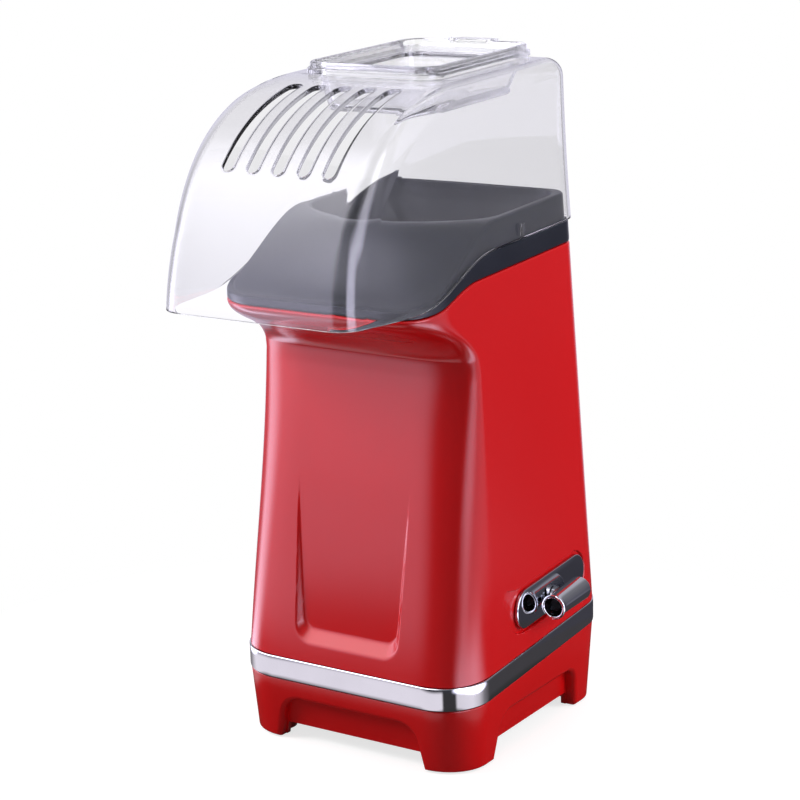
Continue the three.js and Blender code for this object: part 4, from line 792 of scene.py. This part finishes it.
def collar():
    """The charcoal collar: trim, the ledge under the hood, the chute and the bowl to its throat."""
    corner, side, face = 18, 26, 30
    weights = ring_weights(corner, even(side), even(20), even(side), even(face))
    count = len(weights)
    inset = HOOD_WALL + 2 * GAP
    edge_round, lip_round, bowl_wall = 1.0, 0.8, 2.2
    # Each gives a height as a function of x and y: over the shell, and under the ledge or chute.
    shell = lambda above: lambda x, y: shell_edge(y) + above
    seat = lambda below=0.0: lambda x, y: seat_edge(y) - below
    chute_below = lambda drop, over_seat: (
        lambda x, y: np.maximum(chute(x, y) - drop, seat_edge(y) + over_seat))

    def ring(margin, height_at):
        """A ring drawn in by margin from the column's outline, at heights that x and y give."""
        z = np.full((1, count), SHOULDER)
        for _ in range(10):
            x, y = loop_of(column(z, margin), weights)
            z = height_at(x, y)
        return points_at(x, y, z)

    rows = [ring(5.0, shell(-4.5)), ring(2.7, shell(-4.5)), ring(2.7, shell(GAP)),
            ring(0.5, shell(GAP)), ring(0.1, shell(GAP + 0.4))]
    rows += [ring(0, lambda x, y: lerp(shell_edge(y) + GAP + 0.6, seat_edge(y) - 0.6, share))
             for share in np.linspace(0.15, 1, 6)]
    rows += [ring(0.18, seat(0.18)), ring(0.6, seat()), ring(inset, seat())]
    step_top = chute_below(edge_round, 0.05)
    rows += [ring(inset, lambda x, y: lerp(seat_edge(y), step_top(x, y), share))
             for share in np.linspace(0.2, 1, 5)]
    rows += [ring(inset + back, chute_below(drop, 0.06)) for back, drop in roll(edge_round, FINE)]

    # The bowl's outline: its rear is a rounded rectangle's. From the middle of the front to the
    # rear corner it follows the outer ring by length, and its left mirrors its right.
    outer = ring(inset + edge_round, chute)[0, :, :2]
    plan = plain_plan(BOWL_HALF, -60.0, BOWL_BACK, BOWL_CORNER)
    bowl = points_at(*loop_of(plan, weights))[0]
    order = np.arange(count)
    right = np.concatenate((order[count - face // 2:], order[:corner + side]))
    along = lengths(outer[right])
    bowl[right] = bowl_side(along / along[-1])
    left = outer[:, 0] < -1e-6
    bowl[left] = bowl[(count - face - order) % count][left] * (-1, 1)

    start = rows[-1][0, :, :2]
    for t in np.linspace(0, 1, 27)[1:]:
        x, y = lerp(start, grown(bowl, lip_round), t).T
        rows.append(points_at(x, y, chute(x, y))[None])
    rows += [points_at(*grown(bowl, out).T, RIM_TOP - down)[None] for down, out in roll(lip_round)]
    angle = np.arctan2(bowl[:, 1] - CORE_AXIS, bowl[:, 0])
    throat = points_at(np.cos(angle), np.sin(angle)) * CHAMBER_RADIUS + (0, CORE_AXIS)

    def bowl_ring(down, margin=0.0):
        """The bowl a share down its depth: the rim's outline turning into the throat's."""
        share = np.interp(down, (0, 0.06, 0.25, 0.6, 0.94, 1), (0, 0.0, 0.12, 0.45, 1, 1))
        xy = grown(lerp(bowl, throat, share), margin)
        return points_at(*xy.T, lerp(RIM_TOP, THROAT_FLOOR, down))[None]

    rows += [bowl_ring(down) for down in np.linspace(0.08, 1, 22)]
    rows += [bowl_ring(down, bowl_wall) for down in (1, 0.7, 0.4, 0.14)]
    rows += [ring(5.0, lambda x, y: np.maximum(chute(x, y) - 3.2, shell_edge(y) - 1)),
             ring(5.0, shell(-2))]
    made = mesh_of("collar", np.concatenate(rows))
    return dress(made, "housing", ["chute_collar"], "charcoal_plastic")


# ---- Hood ----

SLOTS, SLOT_PITCH, SLOT_RADIUS, SLOT_LOW, SLOT_HIGH = 5, 11.8, 2.7, -103.0, -50.0
CELL_COLUMNS = 6  # parts across one slot's piece of the front
SLOT_SLIDE = (0, 0.35, 0.65, 0.85)  # shares of the way from a cell's border to its slot
SLOT_FLARE = 0.55  # how much a slot has grown where its rounded edge meets a skin
# The rounded edge: (share of the way to the slot, growth, share of the way through the wall).
SLOT_RIM = ((1, 0.3, 0.05), (1, 0.1, 0.15), (1, 0, 0.3), (1, 0, 0.7), (1, 0.1, 0.85),
            (1, 0.3, 0.95))
EDGE_LIFT = 0.3  # half the thickness of the lower edge's rounding


def front_columns():
    """Places across the front: where (x), how far each is fixed there (0 to 1), and its side."""
    edge = SLOTS / 2 * SLOT_PITCH
    fixed = np.linspace(-edge, edge, SLOTS * CELL_COLUMNS + 1)
    side = np.array((0.25, 0.5, 0.75))
    place = np.concatenate((np.full(3, -edge), fixed, np.full(3, edge)))
    return place, np.concatenate((side, np.ones(len(fixed)), side[::-1])), np.sign(place)


FRONT_COLUMNS = front_columns()


def front_point(phi, inset):
    """The y and z of the hood's curved front at angle phi up it: a superellipse.

    Its reach forward is the cosine of phi, and its rise is the sine, each to the power 2 / p."""
    reach, rise = (np.maximum(f(phi), 0) ** (2 / HOOD_POWER) for f in (np.cos, np.sin))
    return (HOOD_BROW - (HOOD_BROW - HOOD_FRONT - inset) * reach,
            lerp(HOOD_CURVE_FLOOR, HOOD_TOP - inset, rise))


def hood_surface(phi, weights, inset):
    """The hood's skin at angle phi, from 0 low at the front to 90 degrees on top.

    The sides and the back taper with height, and roll over into the top. In front the sides close
    in by the cube of the way forward."""
    top = HOOD_TOP - inset
    front, z = front_point(phi, inset)
    height, depth = top - HOOD_CURVE_FLOOR, HOOD_BROW - HOOD_FRONT - inset
    rise = np.clip((z - HOOD_CURVE_FLOOR) / height, 1e-4, 0.99999)
    bend = rise ** (HOOD_POWER - 1) * (1 - rise**HOOD_POWER) ** (1 / HOOD_POWER - 1)
    slope = depth / height * bend

    def setback(radius):
        """How far a rounded top edge has turned in."""
        up = np.clip((z - (top - radius)) / radius, 0, 1)
        return radius * (1 - np.sqrt(np.maximum(1 - up * up, 0)))

    share = (z - SEAT) / HOOD_RISE
    side = setback(HOOD_TOP_CORNER - inset)
    radius = lerp(HOOD_FRONT_CORNER, HOOD_TOP_CORNER, np.clip(share, 0, 1) ** 2) - inset
    back = lerp(HEAD_BACK + 0.6, HOOD_BACK_TOP, share) - inset
    corner = np.maximum(radius - side, 1.5)
    x, y = loop_of(dict(
        half=lerp(HEAD_HALF, HOOD_TOP_HALF, share) - inset - side,
        front=front,
        back=back - setback(HOOD_BACK_CORNER - inset),
        front_corner=corner,
        front_depth=np.clip(radius * np.hypot(1, slope), 1.5, HOOD_BROW + 8 - front),
        back_corner=corner,
    ), weights)
    along = np.clip((HOOD_CHEEK - y) / (HOOD_CHEEK - HOOD_FRONT - HOOD_FRONT_CORNER), 0, 1)
    return points_at(x * (1 - HOOD_NARROWING / HEAD_HALF * along**3), y, z)


def edge_angle(weights, inset):
    """The angle at which each column of a skin meets its rounded lower edge, found by steps."""
    phi = np.full((1, len(weights)), 0.3)
    for _ in range(30):
        y = hood_surface(phi, weights, inset)[..., 1]
        rise = (hood_edge(y) + EDGE_LIFT - HOOD_CURVE_FLOOR) / (HOOD_TOP - inset - HOOD_CURVE_FLOOR)
        phi = lerp(phi, np.arcsin(np.clip(rise, 1e-4, 0.9) ** (HOOD_POWER / 2)), 0.5)
    return phi


def hood_skin(phi, weights, inset):
    """One skin of the hood. Its columns across the front stand at fixed places, for the slots."""
    points = hood_surface(phi, weights, inset)
    place, held, side = FRONT_COLUMNS
    points[:, -len(place):, 0] = place * held + side * (1 - held) * points[:, :1, 0]
    return points


def slot_cell(phi, middle):
    """The wall round one slot, from one skin through its rounded edge to the other.

    Each point of the cell's border slides towards the nearest point of a stadium, whose half width
    is the slot's radius plus a growth, on a map whose axes are x and the length along the front.
    Comes with the share that is 1 for the points of the rounded edge."""
    fine = np.linspace(phi[0], phi[-1], 600)
    path = points_at(*front_point(fine, 0))
    along = lengths(path)
    first, last = np.interp((SLOT_LOW, SLOT_HIGH), path[:, 0], along)
    up = np.interp(phi, fine, along)
    across = middle + np.linspace(-SLOT_PITCH / 2, SLOT_PITCH / 2, CELL_COLUMNS + 1)
    border = np.concatenate((points_at(across, up[0])[:-1], points_at(across[-1], up)[:-1],
                             points_at(across, up[-1])[:0:-1], points_at(across[0], up)[:0:-1]))
    spine = points_at(middle, np.clip(border[:, 1], first + SLOT_RADIUS, last - SLOT_RADIUS))
    out = border - spine
    out /= np.linalg.norm(out, axis=1, keepdims=True)
    steps = [(t, SLOT_FLARE, 0) for t in (*SLOT_SLIDE, 1)] + list(SLOT_RIM)
    steps += [(t, SLOT_FLARE, 1) for t in (1, *SLOT_SLIDE[::-1])]
    share, growth, through = (np.array(v, float)[:, None] for v in zip(*steps))
    edge = spine + (SLOT_RADIUS + growth[..., None]) * out
    place = lerp(border, edge, share[..., None])
    angle = np.interp(place[..., 1], along, fine)
    outer, inner = np.stack(front_point(angle, 0)), np.stack(front_point(angle, HOOD_WALL))
    y, z = lerp(outer, inner, through)
    return points_at(place[..., 0], y, z), (growth < SLOT_FLARE) + 0.0 * y


def hood():
    """The clear hood: two skins with rounded edges below, round the opening and in the slots."""
    weights = ring_weights(12, even(34), even(16), even(34), even(len(FRONT_COLUMNS[0]) + 1))
    across = len(FRONT_COLUMNS[0])
    shares = np.linspace(0, 1, 76)[:-1, None]
    phi, phi_inner = (lerp(edge_angle(weights, inset), np.pi / 2, shares)
                      for inset in (0, HOOD_WALL))
    phi_inner[:, -across:] = phi[:, -across:]
    outer, inner = hood_skin(phi, weights, 0), hood_skin(phi_inner, weights, HOOD_WALL)[::-1]
    hole = points_at(*loop_of(cup_plan(2.6, CUP_SHELF), weights))[0]

    def top_ring(start, height, margin, share):
        """A ring a share of the way from a skin's end to the opening, which margin widens."""
        xy = lerp(start[:, :2], grown(hole, margin), share)
        return points_at(*xy.T, lerp(start[:, 2], height, np.minimum(share * 1.5, 1)))[None]

    last, first, low = outer[-1], inner[0], HOOD_TOP - HOOD_WALL
    rows = [outer] + [top_ring(last, HOOD_TOP, 0.5, s) for s in (0.2, 0.4, 0.6, 0.8, 1)]
    rows += [top_ring(last, height, margin, 1) for height, margin in (
        (HOOD_TOP - 0.15, 0.15), (HOOD_TOP - 0.5, 0), (low + 0.5, 0), (low + 0.15, 0.15))]
    rows += [top_ring(first, low, 0.5, s) for s in (1, 0.8, 0.6, 0.4, 0.2)]
    inner_start = sum(len(row) for row in rows)
    rows.append(inner)
    centre, reach = (outer[0] + inner[-1]) / 2, (inner[-1] - outer[0]) / 2
    rows += [(centre + reach * math.cos(angle) - (0, 0, EDGE_LIFT * math.sin(angle)))[None]
             for angle in np.radians((30, 60, 90, 120, 150))]
    points = np.concatenate(rows)
    count, columns = points.shape[:2]

    # the cells of the front give way to their own rings
    back = outer[:, -1, 1]
    low_row = int(np.searchsorted(back, SLOT_LOW - 5)) - 1
    high_row = int(np.searchsorted(back, SLOT_HIGH + 5))
    start = columns - across + 3
    kept = np.ones((count, columns), bool)
    inside = inner_start + len(inner) - 1
    for rows_of in (slice(low_row, high_row), slice(inside - high_row, inside - low_row)):
        kept[rows_of, start:start + SLOTS * CELL_COLUMNS] = False
    all_points, rims = [points.reshape(-1, 3)], [np.zeros(count * columns)]
    all_faces = [sheet_faces(count, columns, True)[kept.ravel()]]
    for index in range(SLOTS):
        cell, rim = slot_cell(phi[low_row:high_row + 1, -1], (index - SLOTS // 2) * SLOT_PITCH)
        all_faces.append(sheet_faces(*rim.shape, False) + sum(len(p) for p in all_points))
        all_points.append(cell.reshape(-1, 3))
        rims.append(rim.ravel())
    # the rim values mark the slot walls, which the clear finish tints grey as painted shade
    made = solid("clear_hood", placed(np.concatenate(all_points)),
                 np.concatenate(all_faces).tolist(), rim=np.concatenate(rims))
    return dress(made, "hood", ["hood"], "clear_plastic")


# ---- Tab and measuring cup ----


def rounded_block(name, low, high, radius, bevel):
    """A block with rounded corners: its plan is drawn in round a quarter circle at each face."""
    (x0, y0, z0), (x1, y1, z1) = low, high
    plan = rounded([(x0, y0, radius), (x1, y0, radius), (x1, y1, radius), (x0, y1, radius)], 6)
    steps = roll(bevel, (0, 30, 60, 90))
    steps = [(b, z0 + a) for a, b in steps] + [(a, z1 - b) for a, b in steps]
    loops = [points_at(*grown(plan, -inset).T, z) for inset, z in steps]
    return mesh_of(name, np.array(loops), wrap_rows=False)


def hood_tab():
    """The small clear tab that stands out from the hood's right side, just above its lower edge."""
    y, low = 3.4, float(hood_edge(3.4)) + 1.6
    out = lerp(HEAD_HALF, HOOD_TOP_HALF, (low + 2.5 - SEAT) / HOOD_RISE)
    high = (out + 0.75, y + 1.5, low + 5)
    made = rounded_block("hood_tab", (out - 0.35, y - 1.5, low), high, 0.25, 0.15)
    return dress(made, "hood", [], "clear_plastic")


def measuring_cup():
    """The clear cup: a tapered body, a flange on the hood, a rim, a flat floor and a tab behind."""
    weights = ring_weights(14, even(10), even(8), even(10), even(8))
    floor, flange, wall = CUP_TOP - 21, HOOD_TOP + GAP, 1.6

    def ring(inset, z):
        """A ring of the cup, which has a shelf at its back under the rim."""
        plan = cup_plan(inset, CUP_SHELF * smooth(inset, 1.6, 2.8))
        return points_at(*loop_of(plan, weights), z)

    def closing(row, shares):
        """Rings that draw in to the middle of a level ring."""
        return [lerp(row, row.mean(1, keepdims=True), s) for s in shares]

    taper = lambda z: 3.2 + 3 * (flange - z) / (flange - floor)
    rows = closing(ring(taper(floor) + 1.2, floor), (1, 0.75, 0.5, 0.25, 0))
    rows += [ring(taper(floor) + drop, floor + back) for back, drop in roll(1.2)]
    rows += [ring(taper(z), z) for z in np.linspace(floor + 4, flange - 0.6, 6)]
    rows += [ring(inset, flange + up) for inset, up in (
        (2.9, -0.1), (2.2, 0), (-0.4, 0), (-0.8, 0.4), (-0.8, 2.2), (-0.4, 2.6), (0.1, 2.7))]
    rows += [ring(inset, CUP_TOP - down) for inset, down in (
        (0.3, 0.5), (0.8, 0), (1.6, 0), (2.2, 0.4), (2.5, 1.2))]
    rows += [ring(4.4, flange + 1.5)]
    rows += [ring(taper(z) + wall, z) for z in np.linspace(flange, floor + 3.4, 6)]
    inner = floor + wall
    rows += [ring(taper(inner) + wall + back, inner + drop) for back, drop in roll(1.8)]
    rows += closing(rows[-1], (0.25, 0.5, 0.75, 1))
    made = mesh_of("cup", np.concatenate(rows))

    def block(name, half, behind, drops, radius, bevel):
        """A block behind the cup, between two distances from its back and two from its top."""
        low, high = ((side * half, CUP_BACK + y, CUP_TOP + z)
                     for side, y, z in zip((-1, 1), behind, drops))
        return rounded_block(name, low, high, radius, bevel)

    cut(made, [block("tab", 9.8, (-1.5, 8.8), (-1.6, -0.1), 2.0, 0.3),
               block("tab_block", 10.8, (-2.4, 1.4), (-2.9, 0.7), 0.5, 0.3)], join=True)
    cut(made, [block("tab_notch", 8.8, (-3.4, -1.2), (-1.7, 3), 0.4, 0.1)])
    dress(made, "cup", ["measuring_cup"], "clear_plastic")
    made.data.materials[0] = clear_cup


# ---- Switch ----

HANDLE = (PLATE_FACE + 6.6, *SPINDLE)  # the middle of the lever's tube
LEVER_HALF = 13.3
PLATE_LENGTH, PLATE_RADIUS, PLATE_Y = 64.5, 8.9, 11.7
HOLE_RADIUS, PLATE_EDGE = 3.4, 0.6


def switch_plate():
    """The mirror plate: a stadium with rolled edges and a hole for the spindle."""
    reach = PLATE_LENGTH / 2 - PLATE_RADIUS
    ahead = arc((PLATE_Y + reach, PLATE_MIDDLE), PLATE_RADIUS, -90, 90, 32)
    behind = arc((PLATE_Y - reach, PLATE_MIDDLE), PLATE_RADIUS, 90, 270, 32)
    outline = spaced(np.concatenate((ahead, behind)), 3)
    angle = np.arctan2(outline[:, 1] - SPINDLE[1], outline[:, 0] - SPINDLE[0])
    hole = np.array(SPINDLE) + HOLE_RADIUS * points_at(np.cos(angle), np.sin(angle))
    low, high = POCKET_FLOOR + GAP, PLATE_FACE
    loops = [(low, lerp(hole, grown(outline, -0.2), s)) for s in (0, 0.5, 1)]
    loops.append((low + 0.2, outline))
    loops += [(high - drop, grown(outline, -back)) for back, drop in roll(PLATE_EDGE, (0, *FINE))]
    rim = grown(outline, -PLATE_EDGE)
    loops += [(high, lerp(rim, hole, s)) for s in (0.25, 0.5, 0.75, 1)]
    points = np.array([points_at(x, *loop.T) for x, loop in loops])
    return dress(mesh_of("mirror_plate", points), "housing", ["switch_plate"], "mirror_plate")


def switch_lever():
    """The lever: a plated tube, a little thinner in front, with a rolled ring round its mouth."""
    front, back = -LEVER_HALF, LEVER_HALF
    profile = np.concatenate((
        [(4.3, back - 0.4), (4.3, front + 1.2)], arc((4.75, front + 0.45), 0.45, 180, 270, 4),
        arc((5.15, front + 0.6), 0.55, -90, 30, 7),
        [(5.55, front + 1.3), (5.05, front + 1.8), (4.92, front + 2.4)],
        [(lerp(4.9, 5.5, t), lerp(front + 2.6, back - 0.6, t)) for t in np.linspace(0.05, 1, 6)],
        arc((5.1, back - 0.4), 0.4, 0, 90, 4), arc((4.6, back - 0.3), 0.3, 90, 180, 3)))
    made = mesh_of("lever_tube", turned(profile, HANDLE, (0, 1, 0)))
    return dress(made, "switch_knob", ["switch_handle"], "chrome_trim")


def bore_shade_plug():
    """A dark plug a little way in from the tube's mouth, a dished disc on a rod: painted shade, a
    dark thing put in the bore where there is only shade.
    """
    profile = [(0.02, 2.0), (2.6, 2.2), (4.0, 2.6), (4.22, 3.0), (4.22, 12.6), (3.9, 12.9),
               (0.02, 12.9)]
    # painted shade: a black plug that darkens the bore of the tube
    made = mesh_of("bore_shade_plug", turned(profile, HANDLE, (0, 1, 0), 64), wrap_rows=False)
    return dress(made, "switch_knob", [], "black_plastic")


def switch_neck():
    """The neck: a flared cone from the plate to the tube, and the spindle behind it.

    Its end is hollowed to fit a tube: the square root of its radius squared less z squared."""
    start, tube = PLATE_FACE + GAP, 5.8
    circle = arc((0, 0), 1, 0, 360, 64)[:-1]

    def ring(radius, x):
        return points_at(x, *(np.array(SPINDLE) + radius * circle).T)

    saddle = lambda radius: HANDLE[0] - np.sqrt(tube**2 - (radius * circle[:, 1]) ** 2)
    rows = [ring(2.8, start - 12), ring(2.8, start), ring(4.2, start)]
    rows += [lerp(ring(4.4, start + 0.2), ring(4.28, saddle(4.28)), t) for t in (0, 0.5, 1)]
    rows += [ring(r, saddle(r)) for r in (3, 1.5, 0.3)]
    made = mesh_of("lever_neck", np.array(rows), wrap_rows=False)
    return dress(made, "switch_knob", ["switch_neck"], "chrome_trim")


for build in (column_shell, chrome_band, base, collar, hood, hood_tab, measuring_cup,
              switch_plate, switch_lever, bore_shade_plug, switch_neck):
    build()

# ---- The nodes that keep their own shape get their finishes ----

FINISH_OF_NODES = {
    "black_plastic": ("rotary_switch", "fan_housing", "motor_end_cap", "rectifier_bridge",
                      "bottom_plate"),
    "steel": ("switch_nut", "heat_shield", "motor_shaft", "motor_can", "thermostat", "base_screw"),
    "aluminium_sheet": ("popping_chamber", "fan_impeller"),
    "red_silicone": ("chamber_seal",),
    "mica_board": ("heater_frame",),
    "heater_wire": ("heater_coil",),
    "circuit_board": ("rectifier_board",),
    "white_plastic": ("thermal_fuse", "terminal_block"),
    "wire_white": ("wire_switch_feed",),
    "wire_red": ("wire_motor_feed",),
    "wire_blue": ("wire_heater_feed", "wire_fuse_link"),
    "black_rubber": ("cord_gland", "foot_pad"),
}
for slot, starts in FINISH_OF_NODES.items():
    for name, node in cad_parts.items():
        if name.startswith(starts):
            node.data.materials.clear()
            node.data.materials.append(finishes[slot])

# ---- Studio ----

# Brightness by bearing in degrees, from -180 to 180, with 0 straight ahead of the maker and 90 at
# its right: what polished parts see of the floor in four rings round the maker, of which the last
# runs on into the room low down, and what they see higher up. Each has its tint.
NEAR = ((-180, 0.2), (-115, 0.25), (-98, 0.3), (-84, 1.0), (20, 1.0), (24, 0.05), (48, 0.05),
        (53, 0.9), (88, 1.0), (104, 0.75), (120, 0.25), (138, 0.07), (180, 0.06))
MIDDLE = ((-180, 0.02), (-92, 0.04), (-80, 0.9), (-68, 0.9), (-58, 0.05), (-4, 0.01), (40, 0.01),
          (52, 0.9), (86, 0.9), (108, 0.015), (180, 0.01))
LEFT = ((-180, 0.13), (-125, 0.13), (-110, 0.03), (-92, 0.08), (-80, 0.9), (-68, 0.9))
RIGHT = ((100, 0.18), (127, 0.11), (137, 0.04))
FAR_FLOOR = (*LEFT, (-56, 0.32), (-44, 0.36), (-18, 0.33), (-4, 0.02), (44, 0.01), (54, 0.12),
             (58, 0.34), (68, 0.34), (76, 0.2), *RIGHT, (146, 0.015), (170, 0.01), (178, 0.11),
             (180, 0.13))
FAR = (*LEFT, (-56, 0.4), (-44, 0.44), (-18, 0.4), (-6, 0.02), (44, 0.01), (54, 1.2), (77, 1.2),
       (86, 0.2), *RIGHT, (146, 0.02), (168, 0.02), (176, 0.11), (180, 0.13))
RAISED = ((-180, 0.1), (-110, 0.1), (-95, 0.2), (-62, 0.9), (-8, 0.9), (14, 0.1), (40, 0.05),
          (54, 0.25), (60, 1.0), (74, 1.0), (80, 0.25), (100, 0.2), (125, 0.05), (160, 0.05),
          (180, 0.1))
FAR_TINT, NEAR_TINT, RAISED_TINT = (1, 0.97, 1.22), (1, 0.93, 1.02), (1, 0.98, 1.08)
FAR_SCALE = 5.0  # strength of all but the nearest ring
CORNER_PLACE = (0.040, -0.050)  # bearings in the nearest ring are taken from the front right leg
DARK_FLOOR, ROOM_LIGHT, SKY = 0.04, 0.3, 0.03
INNER_LIGHT = 0.42  # how far reflections inside clear walls turn to white
SHADOW_START, SHADOW_END = 0.09, 0.26  # distances in metres over which the floor turns white
# Distances in metres beyond the base over which each ring takes over from the one inside it.
RING_STARTS = ((0.034, 0.042), (0.088, 0.105), (0.19, 0.30), (1.1, 1.4))
FLOOR_HALF = 4.0


def by_bearing(layout, x, y, stops, tint=FAR_TINT):
    """Brightness as a function of the bearing, which is the arctangent of x over minus y."""
    bearing = layout.maths("ARCTAN2", x, layout.maths("MULTIPLY", y, -1.0))
    turn = layout.spread(bearing, 0, 1, -math.pi, math.pi)
    return layout.colours(turn, [((at + 180) / 360, level * np.array(tint)) for at, level in stops])


def by_ray(layout, dull, mirrored, shown):
    """One look for light that falls on dull surfaces, one for reflections and one seen directly.

    A view through clear walls counts as direct, and a reflection through them as a reflection."""
    path = layout.add("LightPath").outputs
    unscattered = layout.maths("LESS_THAN", path["Diffuse Depth"], 0.5)
    through = layout.maths("MULTIPLY", path["Is Transmission Ray"], unscattered)
    reflected = layout.maths("GREATER_THAN", path["Glossy Depth"], 0.5)
    glossy = layout.maths("MAXIMUM", path["Is Glossy Ray"],
                          layout.maths("MULTIPLY", through, reflected))
    direct = layout.maths("MULTIPLY", through, layout.spread(reflected, 1.0, INNER_LIGHT, 0, 1))
    direct = layout.maths("MAXIMUM", path["Is Camera Ray"], direct)
    return layout.mixed(direct, layout.mixed(glossy, dull, mirrored), shown)


def light_room():
    """The room: white seen directly, an even light on dull parts, and bearings for polished ones.

    From 2 to 45 degrees up it turns into the raised look, and from 64 to 76 into a dark sky."""
    world = bpy.data.worlds.new("studio")
    bpy.context.scene.world = world
    world.use_nodes = True
    room = Layout(world.node_tree)
    direction = room.add("TexCoord").outputs["Generated"]
    x, y, z = room.add("SeparateXYZ", {0: direction}).outputs
    light = lambda strength, colour: room.add(
        "Background", {"Strength": strength, "Color": colour}).outputs[0]
    white = (1, 1, 1, 1)
    rise = lambda *angles: room.spread(z, 0, 1, *(math.sin(math.radians(a)) for a in angles))
    raised = by_bearing(room, x, y, RAISED, RAISED_TINT)
    around = room.faded(rise(2, 45), by_bearing(room, x, y, FAR), raised)
    polished = light(FAR_SCALE, room.faded(rise(64, 76), around, (SKY, SKY, SKY * 1.05, 1)))
    room.put(room.nodes["World Output"].inputs["Surface"],
             by_ray(room, light(ROOM_LIGHT, white), polished, light(1.0, white)))


def floor():
    """A plain pale floor. Seen directly it keeps the maker's shadow, and turns white away from it.

    Polished parts see rings of bearings by distance beyond the base's outline, which is the square
    root of the sum of the squares of the distances beyond its sides and ends."""
    grey = (0.36, 0.36, 0.36, 1)
    made = Finish("pale_floor", Roughness=0.9, Base_Color=grey, Specular_IOR_Level=0.0)
    middle = (-OFFSET[0] / 1000, -OFFSET[1] / 1000, 0)
    centred = made.add("Mapping", {"Vector": made.place, "Location": middle}).outputs[0]
    x, y, _ = made.add("SeparateXYZ", {0: centred}).outputs
    distance = made.add("VectorMath", {0: centred}, operation="LENGTH").outputs["Value"]
    over = lambda low, high: made.spread(distance, low, high, SHADOW_START, SHADOW_END)
    shaded = made.faded(over(0, 1), (0.4, 0.4, 0.4, 1), (0, 0, 0, 1))
    shown = made.add("AddShader", {
        0: made.add("BsdfDiffuse", {"Color": shaded}).outputs[0],
        1: made.add("Emission", {"Strength": over(0.74, 1.0)}).outputs[0]}).outputs[0]
    squares = []
    for along, half in ((x, BAND_HALF), (y, BAND_DEPTH)):
        past = made.maths("SUBTRACT", made.maths("ABSOLUTE", along), half / 1000)
        squares.append(made.maths("POWER", made.maths("MAXIMUM", past, 0.0), 2.0))
    beyond = made.maths("SQRT", made.maths("ADD", *squares))
    shifted = [made.maths("SUBTRACT", along, place) for along, place in zip((x, y), CORNER_PLACE)]
    look = (*[DARK_FLOOR / FAR_SCALE] * 3, 1)
    near = by_bearing(made, *shifted, [(at, level / FAR_SCALE) for at, level in NEAR], NEAR_TINT)
    rings = [by_bearing(made, x, y, stops) for stops in (MIDDLE, FAR_FLOOR, FAR)]
    for start, ring in zip(RING_STARTS, (near, *rings)):
        look = made.faded(made.spread(beyond, 0, 1, *start), look, ring)
    mirrored = made.add("Emission", {"Strength": FAR_SCALE, "Color": look}).outputs[0]
    made.shown_by(by_ray(made, made.shader.outputs[0], mirrored, shown))
    mesh = bpy.data.meshes.new("floor")
    corners = [(x * FLOOR_HALF, y * FLOOR_HALF, 0) for x, y in ((-1, -1), (1, -1), (1, 1), (-1, 1))]
    mesh.from_pydata(corners, [], [(0, 1, 2, 3)])
    mesh.materials.append(made.material)
    linked("floor", mesh)


def softbox(name, place, target, width, height, power):
    """A rectangular lamp at place that faces target. Polished parts see the room, not the lamp."""
    data = bpy.data.lights.new(name, "AREA")
    data.shape = "RECTANGLE"
    data.size, data.size_y = width, height
    data.energy = power
    lamp = linked(name, data)
    lamp.location = place
    lamp.rotation_mode = "QUATERNION"
    lamp.rotation_quaternion = (Vector(place) - Vector(target)).to_track_quat("Z", "Y")
    lamp.visible_glossy = False
    lamp.visible_transmission = False


light_room()
floor()
softbox("left_box", (-0.66, -0.52, 0.75), (0, 0, 0.16), 0.4, 0.6, 9.0)
softbox("right_box", (0.95, 0.55, 0.5), (0, 0, 0.16), 0.5, 0.8, 11.5)
softbox("top_box", (0.0, 0.1, 1.1), (0, 0, 0.1), 0.8, 0.8, 3.0)
tracing = bpy.context.scene.cycles
tracing.max_bounces = tracing.transparent_max_bounces = 28
tracing.transmission_bounces, tracing.glossy_bounces = 24, 14

# ---- Camera ----

CAMERA_PLACE = (0.45802, -0.76931, 0.34763)
CAMERA_YAW, CAMERA_PITCH, CAMERA_ROLL = 30.775, 12.248, 0.676  # degrees; pitch looks down
FOCAL_LENGTH = 95.91

lens = bpy.data.cameras.new("camera")
lens.sensor_width = 36
lens.lens = FOCAL_LENGTH
lens.clip_start, lens.clip_end = 0.01, 50
camera = linked("camera", lens)
turns = ((CAMERA_YAW, "Z"), (90 - CAMERA_PITCH, "X"), (CAMERA_ROLL, "Z"))
camera.matrix_world = Matrix.Translation(CAMERA_PLACE)
for degrees, axis in turns:
    camera.matrix_world = camera.matrix_world @ Matrix.Rotation(math.radians(degrees), 4, axis)
bpy.context.scene.camera = camera
bpy.context.scene.view_settings.view_transform = "Standard"

bpy.context.view_layer.update()
